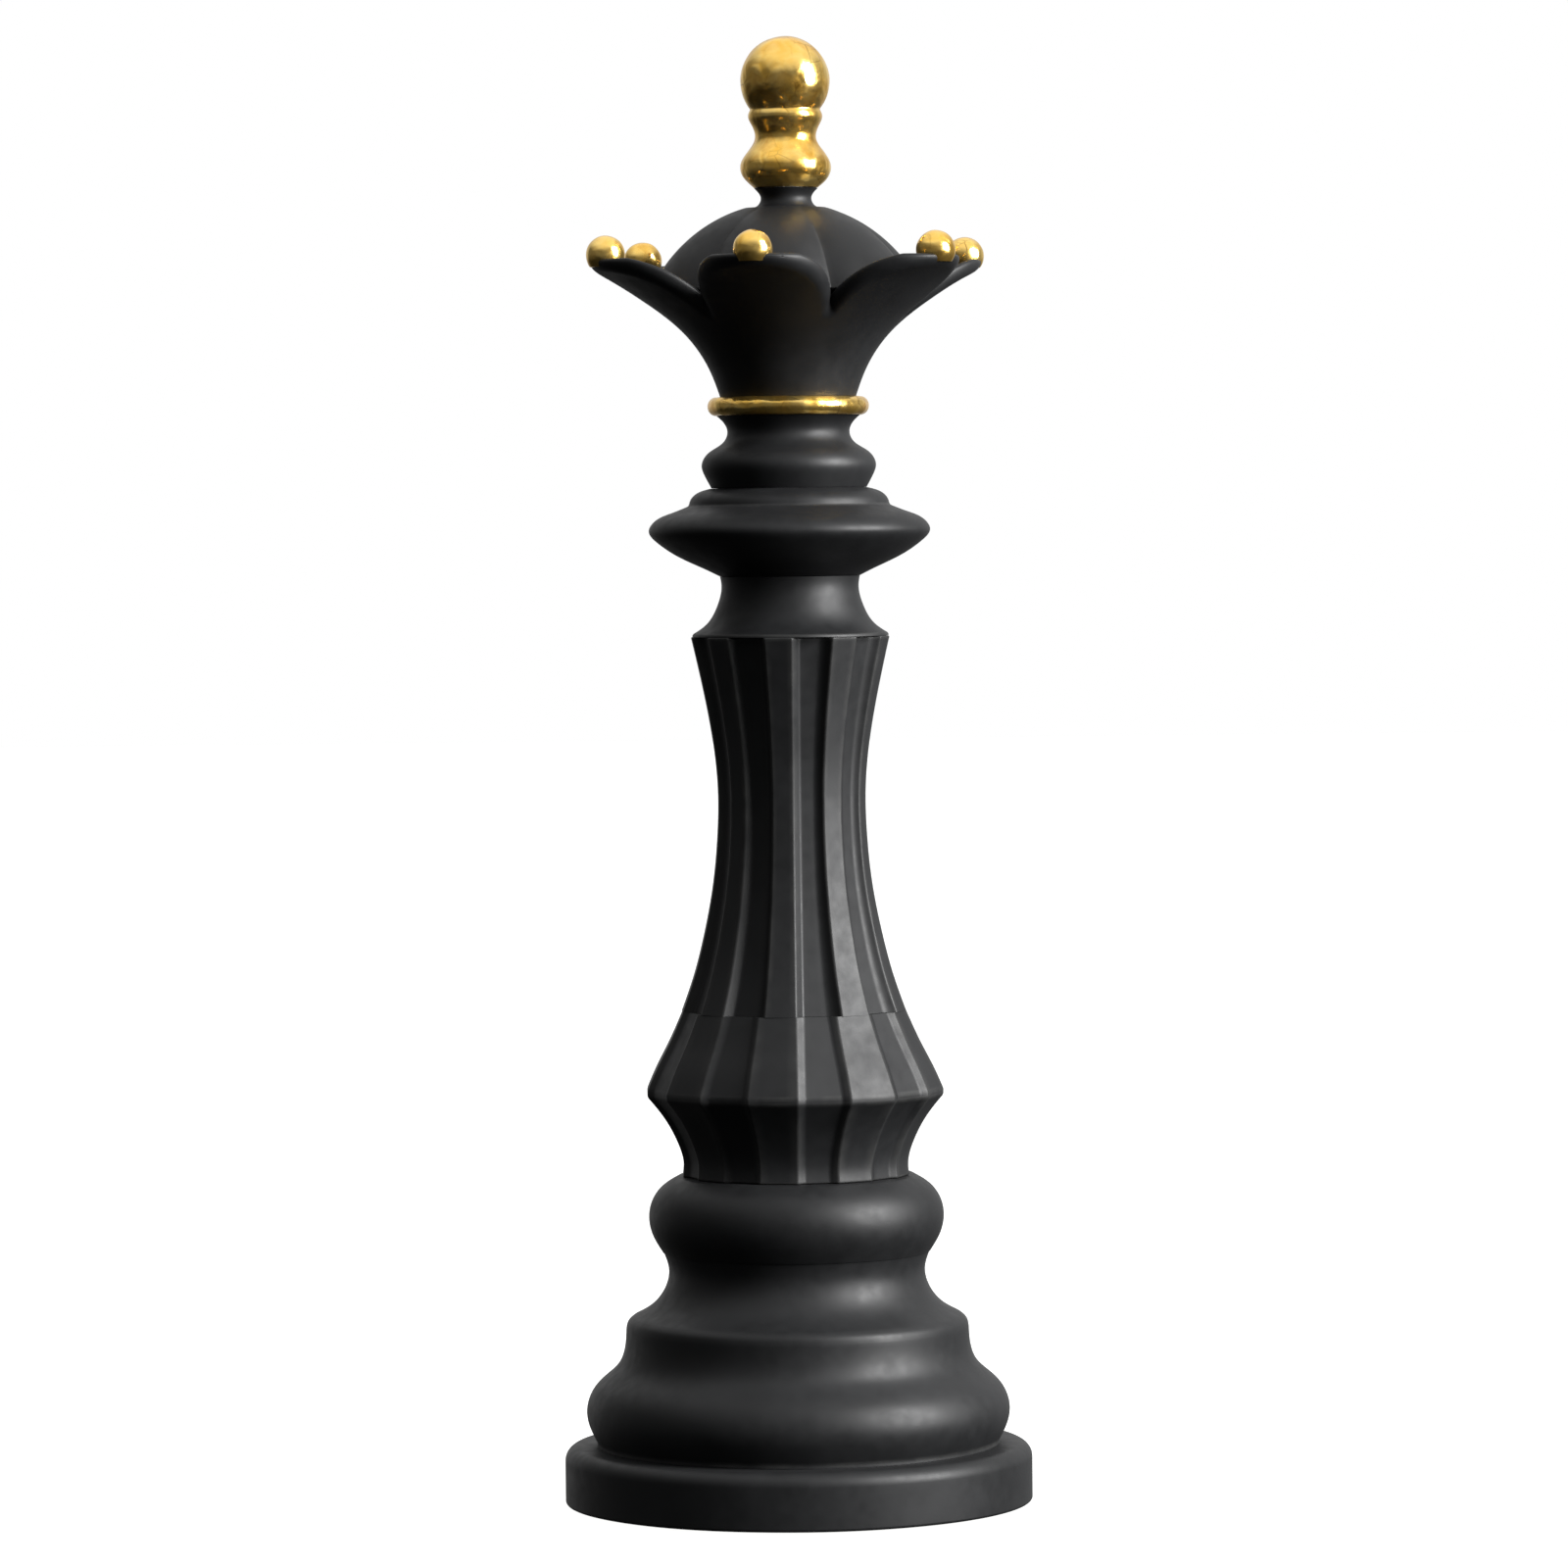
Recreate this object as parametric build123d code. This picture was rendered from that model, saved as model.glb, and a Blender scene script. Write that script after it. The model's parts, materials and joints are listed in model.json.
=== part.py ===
from build123d import *
import os
from math import cos, degrees, pi, radians, sin

# Giant chess queen, built as turned and moulded sections stacked on one steel tie rod.
# Millimetres, +Z up, origin at the middle of the underside, front face towards -Y.
# Angles run from the front (-Y), positive towards +X.

# ---- Section heights, from the floor upwards ------------------------------------
plinth_lift = 0.6          # how far the felt holds the plinth off the floor
plinth_height = 14.4
bell_height = 48.1
torus_height = 19.0
waist_height = 20.2
skirt_edge = 1.5
skirt_height = 19.4
column_height = 93.1
neck_height = 14.9
collar_disc_height = 21.9
collar_bead_height = 17.9
gold_ring_height = 4.7
crown_height = 33.9
finial_height = 37.4

# ---- Outer radii ----------------------------------------------------------------
plinth_radius = 58.3
plinth_top_round = 3.6
plinth_bottom_round = 0.8
bell_foot_radius = 50.2
bell_listel_height = 0.9
bell_bulge_radius = 52.8
bell_step_radius = 42.75
bell_scotia_radius = 31.95
bell_top_radius = 33.2
torus_radius = 36.8
torus_top_radius = 29.4
waist_radius = 28.4
skirt_edge_radius = 37.4
column_base_radius = 28.25
column_slim_radius = 18.65
column_top_radius = 25.0
neck_rim_radius = 24.4
neck_slim_radius = 17.1
collar_disc_radius = 35.0
collar_ovolo_radius = 25.0
collar_bead_radius = 21.7
collar_slim_radius = 15.2
gold_ring_radius = 20.1
gold_ring_edge_radius = 18.0

# ---- Shaft facets and flutes ----------------------------------------------------
facet_count = 9
facet_start = 1.0          # angle of the first land's right-hand edge
panel_angle = 20.5         # width of a sunk panel on the waist and skirt
panel_depth = 1.3
flute_angle = 23.5         # width of a flute on the column
flute_depth_share = 0.097  # depth of a flute as a share of the column's radius there
flute_hollow_angle = 8.0   # width of the rounded wall on a flute's far side
wall_run = 1.8             # width of the sloping wall beside a panel or a flute

# ---- Crown, dome and beads ------------------------------------------------------
petal_count = 6
petal_start = -10.0        # angle of the first petal
petal_reach = 50.8         # from the axis to a petal's tip
petal_half_length = 18.6
petal_half_width = 16.1
crown_foot_radius = 16.9
crown_wall = 3.6
crown_floor = 4.8
dome_radius = 38.5
dome_centre_rise = 9.7     # dome centre above the crown's foot
dome_crease = 0.90         # radius in a crease as a share of the lobe's
dome_wall = 3.4
dome_gap = 0.3             # play between the dome and the crown's bowl
dome_skirt_rise = 14.1     # dome's lower rim above its centre
dome_web = 4.0             # solid top of the dome, under the stem
dome_crest_drop = 2.2      # stem's foot below the crest of the dome's sphere
dome_foot_radius = 11.5
dome_foot_wall = 3.0
stem_radius = 6.3
stem_top_radius = 8.0
stem_height = 5.6
bead_radius = 4.9
bead_circle_radius = 47.4
bead_sink = 2.9            # depth of a bead's flat seat below its middle
bead_rise = 34.9           # bead's middle above the crown's foot
petal_lip = 1.2            # upright edge of a petal's tip
petal_hub_margin = 4.0     # gap between the crown's round middle and the petals' own middles

# ---- Finial ---------------------------------------------------------------------
finial_foot_radius = 11.35
finial_slim_radius = 7.7
finial_bead_radius = 9.3
finial_ball_radius = 11.2
finial_ball_seat = 19.5    # height at which the ball rises from its bead

# ---- Walls, spigots and clearances ----------------------------------------------
seat_clearance = 0.15      # radial gap of a spigot in its socket
spigot_height = 3.5
web = 4.8                  # closed top of each hollow section
bell_wall = 4.0
plinth_wall = 7.0
plinth_web = 3.3
torus_socket_radius = 24.0
skirt_socket_radius = 20.0
column_socket_radius = 12.5
neck_socket_radius = 10.0
collar_socket_radius = 10.0
crown_socket_radius = 10.0
crown_spigot_height = 2.4

# ---- Tie rod and fasteners (M6, 1 mm pitch) ---------------------------------------
rod_radius = 3.0
rod_hole_clearance = 0.3
thread_clearance = 0.05
washer_radius = 8.0
washer_thickness = 1.6
spring_washer_radius = 6.5
spring_washer_gap = 0.8
nut_across_flats = 10.0
nut_height = 5.0
nut_chamfer = 0.5
rod_below_nut = 1.5
insert_radius = 4.6
insert_clearance = 0.02
insert_length = 13.6
insert_cover = 0.8         # finial left under the insert, above the captive washer
rod_engagement = 12.0

# ---- Base ballast, cover and felt -------------------------------------------------
felt_thickness = 1.8
felt_margin = 0.5
ballast_margin = 4.0       # ledge between the cover's edge and the ballast
cover_thickness = 2.5
ballast_hub_radius = 24.0
ballast_hub_height = 14.3
nut_pocket_radius = 11.0
nut_pocket_depth = 11.7
cover_screw_count = 3
cover_screw_circle = 34.0
screw_radius = 2.0
screw_head_radius = 3.8
screw_length = 8.0
screw_start = 30.0         # angle of the first cover screw

# ---- Small locating parts ---------------------------------------------------------
dowel_radius = 1.5
dowel_length = 6.0
dowel_wall = 2.6           # between a dowel and the socket inside it
dowel_count = 2
key_size = 2.5
key_height = 2.0
pin_radius = 0.8
pin_length = 4.4
pin_sink = 0.4
captive_washer_thickness = 1.0
captive_washer_radius = 6.0
washer_gap = 0.1           # play above and below the captive washer
finial_gap = 0.3           # gap between the stem and the finial that turns on it
cut_margin = 20.0          # how far a cutting solid reaches past what it cuts

# ---- Levels worked out from the heights -------------------------------------------
plinth_top = plinth_lift + plinth_height
bell_top = plinth_top + bell_height
torus_top = bell_top + torus_height
waist_top = torus_top + waist_height
skirt_bottom = waist_top + skirt_edge
skirt_top = skirt_bottom + skirt_height
column_top = skirt_top + column_height
neck_top = column_top + neck_height
collar_top = neck_top + collar_disc_height
bead_top = collar_top + collar_bead_height
ring_top = bead_top + gold_ring_height
crown_inside = ring_top + crown_floor
dome_centre = ring_top + dome_centre_rise
crown_top = ring_top + crown_height
stem_foot = dome_centre + dome_radius - dome_crest_drop
stem_top = stem_foot + stem_height
washer_bottom = stem_top + washer_gap
recess_top = washer_bottom + captive_washer_thickness + washer_gap
finial_bottom = stem_top + finial_gap
cover_bottom = felt_thickness
cover_top = cover_bottom + cover_thickness
ballast_top = plinth_top - plinth_web
pocket_top = cover_top + nut_pocket_depth
base_washer_bottom = pocket_top - washer_thickness
spring_washer_bottom = base_washer_bottom - washer_thickness
base_nut_bottom = spring_washer_bottom - nut_height
rod_bottom = base_nut_bottom - rod_below_nut
insert_bottom = recess_top + insert_cover
insert_top = insert_bottom + insert_length
rod_top = insert_bottom + rod_engagement
rod_hole = rod_radius + rod_hole_clearance
thread_hole = rod_radius + thread_clearance
pocket_radius = plinth_radius - plinth_wall
ballast_radius = pocket_radius - ballast_margin
dowel_circle = column_socket_radius + dowel_wall + dowel_radius
bead_level = ring_top + bead_rise
bead_seat = bead_level - bead_sink


def at_angle(radius, angle):
    """Point in plan at an angle from the front, positive towards +X."""
    return (radius * sin(radians(angle)), -radius * cos(radians(angle)))


def turned(*outline):
    """Solid of revolution about the vertical axis of edges drawn as (radius, height)."""
    return revolve(Plane.XZ * make_face(Curve() + list(outline)), Axis.Z)


def cylinder(radius, bottom, top):
    """Upright cylinder on the axis between two levels."""
    align = (Align.CENTER, Align.CENTER, Align.MIN)
    return Pos(0, 0, bottom) * Cylinder(radius, top - bottom, align=align)


def tube(outer, inner, bottom, top):
    """Upright tube on the axis between two levels."""
    return cylinder(outer, bottom, top) - cylinder(inner, bottom, top)


def ring_places(count, radius, level, start=0.0):
    """Evenly spaced places on a circle round the axis."""
    step = 360.0 / count
    spots = [at_angle(radius, start + step * i) for i in range(count)]
    return [Pos(x, y, level) for x, y in spots]


def hollow(body, socket_radius, bottom, top):
    """Socket open at the bottom, closed by the web, with the rod hole through it."""
    cavity = cylinder(socket_radius, bottom, top - web)
    return body - cavity - cylinder(rod_hole, bottom, top + spigot_height)


def spigot(socket_radius, level, height=spigot_height):
    """Locating spigot that stands up into the socket of the section above."""
    return tube(socket_radius - seat_clearance, rod_hole, level, level + height)


# ---- Base -------------------------------------------------------------------------
def make_base_felt():
    return cylinder(pocket_radius - felt_margin, 0, felt_thickness)


def cover_screw_spots(level):
    return ring_places(cover_screw_count, cover_screw_circle, level, screw_start)


def make_cover_screw(spot):
    """Countersunk screw, its head flush with the cover's underside."""
    head_height = screw_head_radius - screw_radius
    align = (Align.CENTER, Align.CENTER, Align.MIN)
    head = Cone(screw_head_radius, screw_radius, head_height, align=align)
    return spot * (head + Cylinder(screw_radius, screw_length, align=align))


def make_cover_screws():
    return Compound(children=[make_cover_screw(s) for s in cover_screw_spots(cover_bottom)])


def make_base_cover():
    disc = cylinder(pocket_radius - seat_clearance, cover_bottom, cover_top)
    for spot in cover_screw_spots(cover_bottom):
        disc -= make_cover_screw(spot)
    return disc


def make_ballast_weight():
    """Cast iron disc with a hub that rises through the plinth into the bell."""
    disc = cylinder(ballast_radius, cover_top, ballast_top)
    hub = cylinder(ballast_hub_radius, ballast_top, ballast_top + ballast_hub_height)
    weight = disc + hub - cylinder(nut_pocket_radius, cover_top, pocket_top)
    weight -= cylinder(rod_hole, pocket_top, ballast_top + ballast_hub_height)
    for spot in cover_screw_spots(cover_bottom):
        weight -= make_cover_screw(spot)
    return weight


def make_washer(radius, bottom, thickness):
    return tube(radius, rod_hole, bottom, bottom + thickness)


def make_spring_washer():
    """Split lock washer, shown flat under load with its gap open."""
    whole = make_washer(spring_washer_radius, spring_washer_bottom, washer_thickness)
    gap = Pos(washer_radius / 2, 0, spring_washer_bottom + washer_thickness / 2)
    return whole - gap * Box(washer_radius, spring_washer_gap, 2 * washer_thickness)


def make_nut(bottom):
    """Hexagon nut with its corners turned off at both ends."""
    corner_radius = nut_across_flats / 2 / cos(pi / 6)
    blank = extrude(Pos(0, 0, bottom) * RegularPolygon(corner_radius, 6), nut_height)
    barrel = chamfer(cylinder(corner_radius, bottom, bottom + nut_height).edges(), nut_chamfer)
    return (blank & barrel) - cylinder(thread_hole, bottom, bottom + nut_height)


def make_plinth():
    body = cylinder(plinth_radius, plinth_lift, plinth_top)
    rims = body.edges().sort_by(Axis.Z)
    body = fillet(rims[-1], plinth_top_round)
    body = fillet(body.edges().sort_by(Axis.Z)[0], plinth_bottom_round)
    body -= cylinder(pocket_radius, plinth_lift, cover_top)
    body -= cylinder(ballast_radius + seat_clearance, cover_top, ballast_top)
    return body - cylinder(ballast_hub_radius + seat_clearance, ballast_top, plinth_top)


def bell_outline():
    """Outer edges of the bell: foot, bulge, cove, rounded step and scotia."""
    z = plinth_top
    listel_top = z + bell_listel_height
    foot = Polyline((0, z), (bell_foot_radius, z), (bell_foot_radius, listel_top))
    bulge = Spline(
        (bell_foot_radius, listel_top),
        (bell_bulge_radius - 0.7, z + 4.8),
        (bell_bulge_radius, z + 8.4),
        (bell_bulge_radius - 2.1, z + 14.5),
        (bell_step_radius + 5.0, z + 17.4),
        (bell_step_radius + 2.0, z + 20.3),
        (bell_step_radius + 0.35, z + 24.7),
        (bell_step_radius, z + 29.0),
    )
    step = ThreePointArc(
        (bell_step_radius, z + 29.0),
        (bell_step_radius - 0.5, z + 30.9),
        (bell_step_radius - 1.9, z + 32.2),
    )
    scotia = Spline(
        (bell_step_radius - 1.9, z + 32.2),
        (bell_scotia_radius + 4.35, z + 34.9),
        (bell_scotia_radius + 1.3, z + 38.6),
        (bell_scotia_radius, z + 43.7),
        (bell_top_radius, bell_top),
    )
    close = Polyline((bell_top_radius, bell_top), (0, bell_top), (0, z))
    return foot, bulge, step, scotia, close


def make_base_bell():
    z = plinth_top
    inner_foot = bell_foot_radius - bell_wall
    inner_step = bell_step_radius - bell_wall
    inner_top = bell_scotia_radius - bell_wall
    cavity = turned(Polyline(
        (0, z),
        (inner_foot, z),
        (inner_foot, z + 12.5),
        (inner_step, z + 20.0),
        (inner_step, z + 28.0),
        (inner_top, z + 36.5),
        (inner_top, bell_top - web),
        (0, bell_top - web),
        (0, z),
    ))
    body = turned(*bell_outline()) - cavity - cylinder(rod_hole, z, bell_top)
    return body + spigot(torus_socket_radius, bell_top)


def make_base_torus():
    z = bell_top
    belly = Spline(
        (torus_radius - 3.4, z),
        (torus_radius - 0.9, z + 4.4),
        (torus_radius, z + 8.8),
        (torus_radius - 0.9, z + 13.1),
        (torus_radius - 3.0, z + 16.1),
        (torus_top_radius, torus_top),
    )
    close = Polyline((torus_top_radius, torus_top), (0, torus_top), (0, z), (torus_radius - 3.4, z))
    body = hollow(turned(belly, close), torus_socket_radius, z, torus_top)
    return body + spigot(skirt_socket_radius, torus_top)


# ---- Shaft ------------------------------------------------------------------------
def wall_angle(radius):
    """Angle that a sloping side wall takes up at a radius."""
    return degrees(wall_run / radius)


def panel_section(radius, level):
    """Flat-sided section with a shallow sunk panel between each pair of lands."""
    step = 360.0 / facet_count
    floor = radius - panel_depth
    corners = []
    for i in range(facet_count):
        start = facet_start + step * i
        corners.append(at_angle(radius, start))
        corners.append(at_angle(floor, start + wall_angle(radius)))
        corners.append(at_angle(floor, start + panel_angle - wall_angle(radius)))
        corners.append(at_angle(radius, start + panel_angle))
    return Pos(0, 0, level) * make_face(Polyline(*corners, close=True))


def flute_section(radius, level):
    """Section of flat lands and flutes, each with a steep wall, a flat floor and a hollow wall."""
    step = 360.0 / facet_count
    depth = flute_depth_share * radius
    edges = []
    for i in range(facet_count):
        start = facet_start + step * i
        end = start + flute_angle
        near = at_angle(radius, start)
        foot = at_angle(radius - depth, start + wall_angle(radius))
        hollow_foot = at_angle(radius - depth, end - flute_hollow_angle)
        hollow_middle = at_angle(radius - 0.73 * depth, end - 0.39 * flute_hollow_angle)
        far = at_angle(radius, end)
        edges.append(Line(near, foot))
        edges.append(Line(foot, hollow_foot))
        edges.append(ThreePointArc(hollow_foot, hollow_middle, far))
        edges.append(Line(far, at_angle(radius, start + step)))
    return Pos(0, 0, level) * make_face(Curve() + edges)


def lofted(section, stations):
    """Smooth solid through the same section set at (radius, level) stations."""
    return loft([section(radius, level) for radius, level in stations])


def make_shaft_skirt():
    z = torus_top
    waist = lofted(panel_section, [
        (waist_radius + 0.25, z),
        (waist_radius, z + 3.0),
        (waist_radius + 1.6, z + 9.0),
        (waist_radius + 4.6, z + 14.6),
        (skirt_edge_radius, waist_top),
    ])
    edge = extrude(panel_section(skirt_edge_radius, waist_top), skirt_edge)
    flare = lofted(panel_section, [
        (skirt_edge_radius, skirt_bottom),
        (column_base_radius + 6.85, skirt_bottom + 5.2),
        (column_base_radius + 3.75, skirt_bottom + 11.2),
        (column_base_radius, skirt_top),
    ])
    body = hollow(waist + edge + flare, skirt_socket_radius, z, skirt_top)
    body += spigot(column_socket_radius, skirt_top)
    for spot in dowel_spots():
        body -= spot * Cylinder(dowel_radius, dowel_length)
    return body


def make_shaft_column():
    flare = column_base_radius - column_slim_radius
    spread = column_top_radius - column_slim_radius
    z = skirt_top
    waist = z + 0.585 * column_height
    upper = column_top - waist
    body = lofted(flute_section, [
        (column_base_radius, z),
        (column_slim_radius + 0.665 * flare, waist - 0.83 * (waist - z)),
        (column_slim_radius + 0.40 * flare, waist - 0.65 * (waist - z)),
        (column_slim_radius + 0.16 * flare, waist - 0.43 * (waist - z)),
        (column_slim_radius + 0.03 * flare, waist - 0.21 * (waist - z)),
        (column_slim_radius, waist),
        (column_slim_radius + 0.18 * spread, waist + 0.33 * upper),
        (column_slim_radius + 0.54 * spread, waist + 0.66 * upper),
        (column_top_radius, column_top),
    ])
    body = hollow(body, column_socket_radius, z, column_top)
    body += spigot(neck_socket_radius, column_top)
    for spot in dowel_spots():
        body -= spot * Cylinder(dowel_radius, dowel_length)
    return body


def dowel_spots():
    return ring_places(dowel_count, dowel_circle, skirt_top)


def make_column_dowels():
    return Compound(children=[s * Cylinder(dowel_radius, dowel_length) for s in dowel_spots()])


# ---- Neck and collar --------------------------------------------------------------
def make_neck():
    z = column_top
    rim = Polyline((0, z), (neck_rim_radius, z), (neck_rim_radius, z + 0.6))
    scotia = Spline(
        (neck_rim_radius, z + 0.6),
        (neck_slim_radius + 3.6, z + 3.3),
        (neck_slim_radius + 1.1, z + 7.6),
        (neck_slim_radius, z + 12.9),
        (neck_slim_radius + 0.3, neck_top),
    )
    close = Polyline((neck_slim_radius + 0.3, neck_top), (0, neck_top), (0, z))
    body = hollow(turned(rim, scotia, close), neck_socket_radius, z, neck_top)
    return body + spigot(collar_socket_radius, neck_top)


def make_collar_disc():
    """Disc with a rounded edge and a small ovolo moulding on its upper face."""
    z = neck_top
    ovolo_foot = z + 17.6
    disc = Spline(
        (neck_slim_radius + 0.3, z),
        (neck_slim_radius + 3.3, z + 1.5),
        (collar_disc_radius - 8.6, z + 4.3),
        (collar_disc_radius - 2.1, z + 8.5),
        (collar_disc_radius, z + 11.5),
        (collar_disc_radius - 1.0, z + 13.4),
        (collar_disc_radius - 6.0, z + 16.0),
        (collar_ovolo_radius, ovolo_foot),
    )
    ovolo = Spline(
        (collar_ovolo_radius, ovolo_foot),
        (collar_ovolo_radius - 0.5, z + 19.2),
        (collar_ovolo_radius - 2.0, z + 20.7),
        (collar_ovolo_radius - 5.5, collar_top),
    )
    close = Polyline(
        (collar_ovolo_radius - 5.5, collar_top),
        (0, collar_top),
        (0, z),
        (neck_slim_radius + 0.3, z),
    )
    body = hollow(turned(disc, ovolo, close), collar_socket_radius, z, collar_top)
    return body + spigot(collar_socket_radius, collar_top)


def key_block():
    """Square key that sets the crown's angle on the collar."""
    reach = crown_socket_radius - seat_clearance
    x, y = at_angle(reach, petal_start)
    return Pos(x, y, ring_top + key_height / 2) * Rot(0, 0, petal_start) * Box(key_size, key_size, key_height)


def make_collar_bead():
    z = collar_top
    belly = Spline(
        (collar_bead_radius - 2.4, z),
        (collar_bead_radius - 0.8, z + 3.0),
        (collar_bead_radius, z + 5.6),
        (collar_bead_radius - 1.7, z + 8.8),
        (collar_slim_radius + 0.8, z + 11.7),
        (collar_slim_radius, z + 14.0),
        (collar_slim_radius + 0.8, z + 16.1),
        (collar_slim_radius + 2.6, bead_top),
    )
    close = Polyline(
        (collar_slim_radius + 2.6, bead_top),
        (0, bead_top),
        (0, z),
        (collar_bead_radius - 2.4, z),
    )
    body = hollow(turned(belly, close), collar_socket_radius, z, bead_top)
    reach = gold_ring_height + crown_spigot_height
    return body + spigot(crown_socket_radius, bead_top, reach) - key_block()


def make_gold_ring():
    bore = crown_socket_radius
    middle = bead_top + gold_ring_height / 2
    edge = ThreePointArc(
        (gold_ring_edge_radius, bead_top),
        (gold_ring_radius, middle),
        (gold_ring_edge_radius, ring_top),
    )
    close = Polyline(
        (gold_ring_edge_radius, ring_top),
        (bore, ring_top),
        (bore, bead_top),
        (gold_ring_edge_radius, bead_top),
    )
    return turned(edge, close)


# ---- Crown, dome and beads --------------------------------------------------------
def crown_curve():
    """Flaring outer line of the crown, from its foot to the petal tips."""
    z = ring_top
    return Spline(
        (crown_foot_radius, z),
        (crown_foot_radius + 2.5, z + 6.6),
        (crown_foot_radius + 8.4, z + 15.4),
        (petal_reach - 14.6, z + 24.2),
        (petal_reach - 4.9, z + 29.8),
        (petal_reach, z + 31.5),
    )


def inner_curve(offset):
    """Line parallel to the crown's outer line, an offset inside it."""
    outer = crown_curve()
    points = []
    for i in range(1, 7):
        place = outer @ (i / 6)
        along = outer % (i / 6)
        points.append((place.X - offset * along.Y, place.Y + offset * along.X))
    return Spline(*points)


def cup(offset):
    """Solid filling the crown's bowl up to its parallel inner line."""
    line = inner_curve(offset)
    low = line @ 0
    high = line @ 1
    close = Polyline(
        (high.X, high.Y),
        (high.X + cut_margin, high.Y + cut_margin),
        (0, high.Y + cut_margin),
        (0, ring_top),
        (low.X, ring_top),
        (low.X, low.Y),
    )
    return turned(line, close)


def petal_plan():
    """Plan of the crown: overlapping ellipses, one for each petal, round a disc."""
    middle = petal_reach - petal_half_length
    plan = Circle(middle - petal_hub_margin)
    for i in range(petal_count):
        angle = petal_start + 360.0 / petal_count * i
        x, y = at_angle(middle, angle)
        plan += Pos(x, y) * Rot(0, 0, angle - 90) * Ellipse(petal_half_length, petal_half_width)
    return plan


def bead_ball(place, clearance=0.0):
    """Bead with a flat seat on its underside."""
    ball = place * Sphere(bead_radius + clearance)
    return ball & cylinder(2 * petal_reach, bead_seat, crown_top + cut_margin)


def bead_places():
    return ring_places(petal_count, bead_circle_radius, bead_level, petal_start)


def bead_pin(place):
    drop = pin_length / 2 - bead_sink - pin_sink
    return place * Pos(0, 0, drop) * Cylinder(pin_radius, pin_length)


def make_crown():
    outer = crown_curve()
    tip = outer @ 1
    lip = Polyline((tip.X, tip.Y), (tip.X, tip.Y + petal_lip), (tip.X - petal_lip, crown_top))
    close = Polyline(
        (tip.X - petal_lip, crown_top),
        (0, crown_top),
        (0, ring_top),
        (crown_foot_radius, ring_top),
    )
    bowl = turned(outer, lip, close)
    bowl -= cup(crown_wall) & cylinder(2 * petal_reach, crown_inside, crown_top + cut_margin)
    bowl &= extrude(Pos(0, 0, ring_top) * petal_plan(), crown_height)
    bowl -= cylinder(rod_hole, ring_top, crown_inside)
    bowl -= cylinder(crown_socket_radius, ring_top, ring_top + crown_spigot_height)
    bowl -= key_block()
    for place in bead_places():
        bowl -= bead_ball(place, seat_clearance)
        bowl -= bead_pin(place)
    return bowl


def rosette(radius, level):
    """Six-lobed section with a sharp crease between each pair of lobes."""
    step = 360.0 / petal_count
    lobes = []
    for i in range(petal_count):
        crest = petal_start + step * i
        near = at_angle(radius * dome_crease, crest - step / 2)
        far = at_angle(radius * dome_crease, crest + step / 2)
        lobes.append(ThreePointArc(near, at_angle(radius, crest), far))
    return Pos(0, 0, level) * make_face(Curve() + lobes)


def make_crown_dome():
    """Hollow lobed dome, its stem, and the tube that stands it on the crown's floor."""
    tilts = [18, 27, 36, 45, 54, 63, 71, 78]
    stations = [(dome_radius * cos(radians(t)), dome_centre + dome_radius * sin(radians(t))) for t in tilts]
    lobes = lofted(rosette, stations)
    lobes &= cup(crown_wall + dome_gap)
    lobes &= cylinder(2 * petal_reach, dome_centre + dome_skirt_rise, stem_top)
    shell = lobes - Pos(0, 0, dome_centre) * Sphere(dome_radius * dome_crease - dome_wall)
    web_bottom = stem_foot - dome_web
    foot = tube(dome_foot_radius, dome_foot_radius - dome_foot_wall, crown_inside, web_bottom)
    stem_line = Spline(
        (dome_foot_radius - 1.0, stem_foot - 1.0),
        (stem_radius + 0.6, stem_foot + 1.6),
        (stem_radius, stem_foot + 3.0),
        (stem_top_radius, stem_top),
    )
    close = Polyline(
        (stem_top_radius, stem_top),
        (0, stem_top),
        (0, web_bottom),
        (dome_foot_radius, web_bottom),
        (dome_foot_radius - 1.0, stem_foot - 1.0),
    )
    body = shell + foot + turned(stem_line, close)
    return body - cylinder(rod_hole, crown_inside, stem_top)


def make_crown_bead(place):
    return bead_ball(place) - bead_pin(place)


def make_bead_pins():
    return Compound(children=[bead_pin(place) for place in bead_places()])


# ---- Finial -----------------------------------------------------------------------
def make_finial_washer():
    thickness = captive_washer_thickness
    return tube(captive_washer_radius, rod_hole, washer_bottom, washer_bottom + thickness)


def make_finial():
    z = finial_bottom
    seat = z + finial_ball_seat
    ball_centre = z + finial_height - finial_ball_radius
    neck_line = Spline(
        (stem_top_radius, z),
        (finial_foot_radius - 0.4, z + 3.0),
        (finial_foot_radius, z + 5.0),
        (finial_foot_radius - 1.9, z + 9.0),
        (finial_slim_radius, z + 12.0),
        (finial_slim_radius + 0.6, z + 14.9),
        (finial_bead_radius, z + 17.7),
        (finial_bead_radius - 0.6, seat),
    )
    close = Polyline(
        (finial_bead_radius - 0.6, seat),
        (0, seat),
        (0, z),
        (stem_top_radius, z),
    )
    body = turned(neck_line, close) + Pos(0, 0, ball_centre) * Sphere(finial_ball_radius)
    body -= cylinder(insert_radius, insert_bottom, insert_top)
    body -= cylinder(captive_washer_radius + finial_gap, z, recess_top)
    return body - cylinder(rod_hole, z, insert_bottom)


def make_finial_insert():
    return tube(insert_radius - insert_clearance, thread_hole, insert_bottom, insert_top)


def make_crown_key():
    return key_block()


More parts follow.
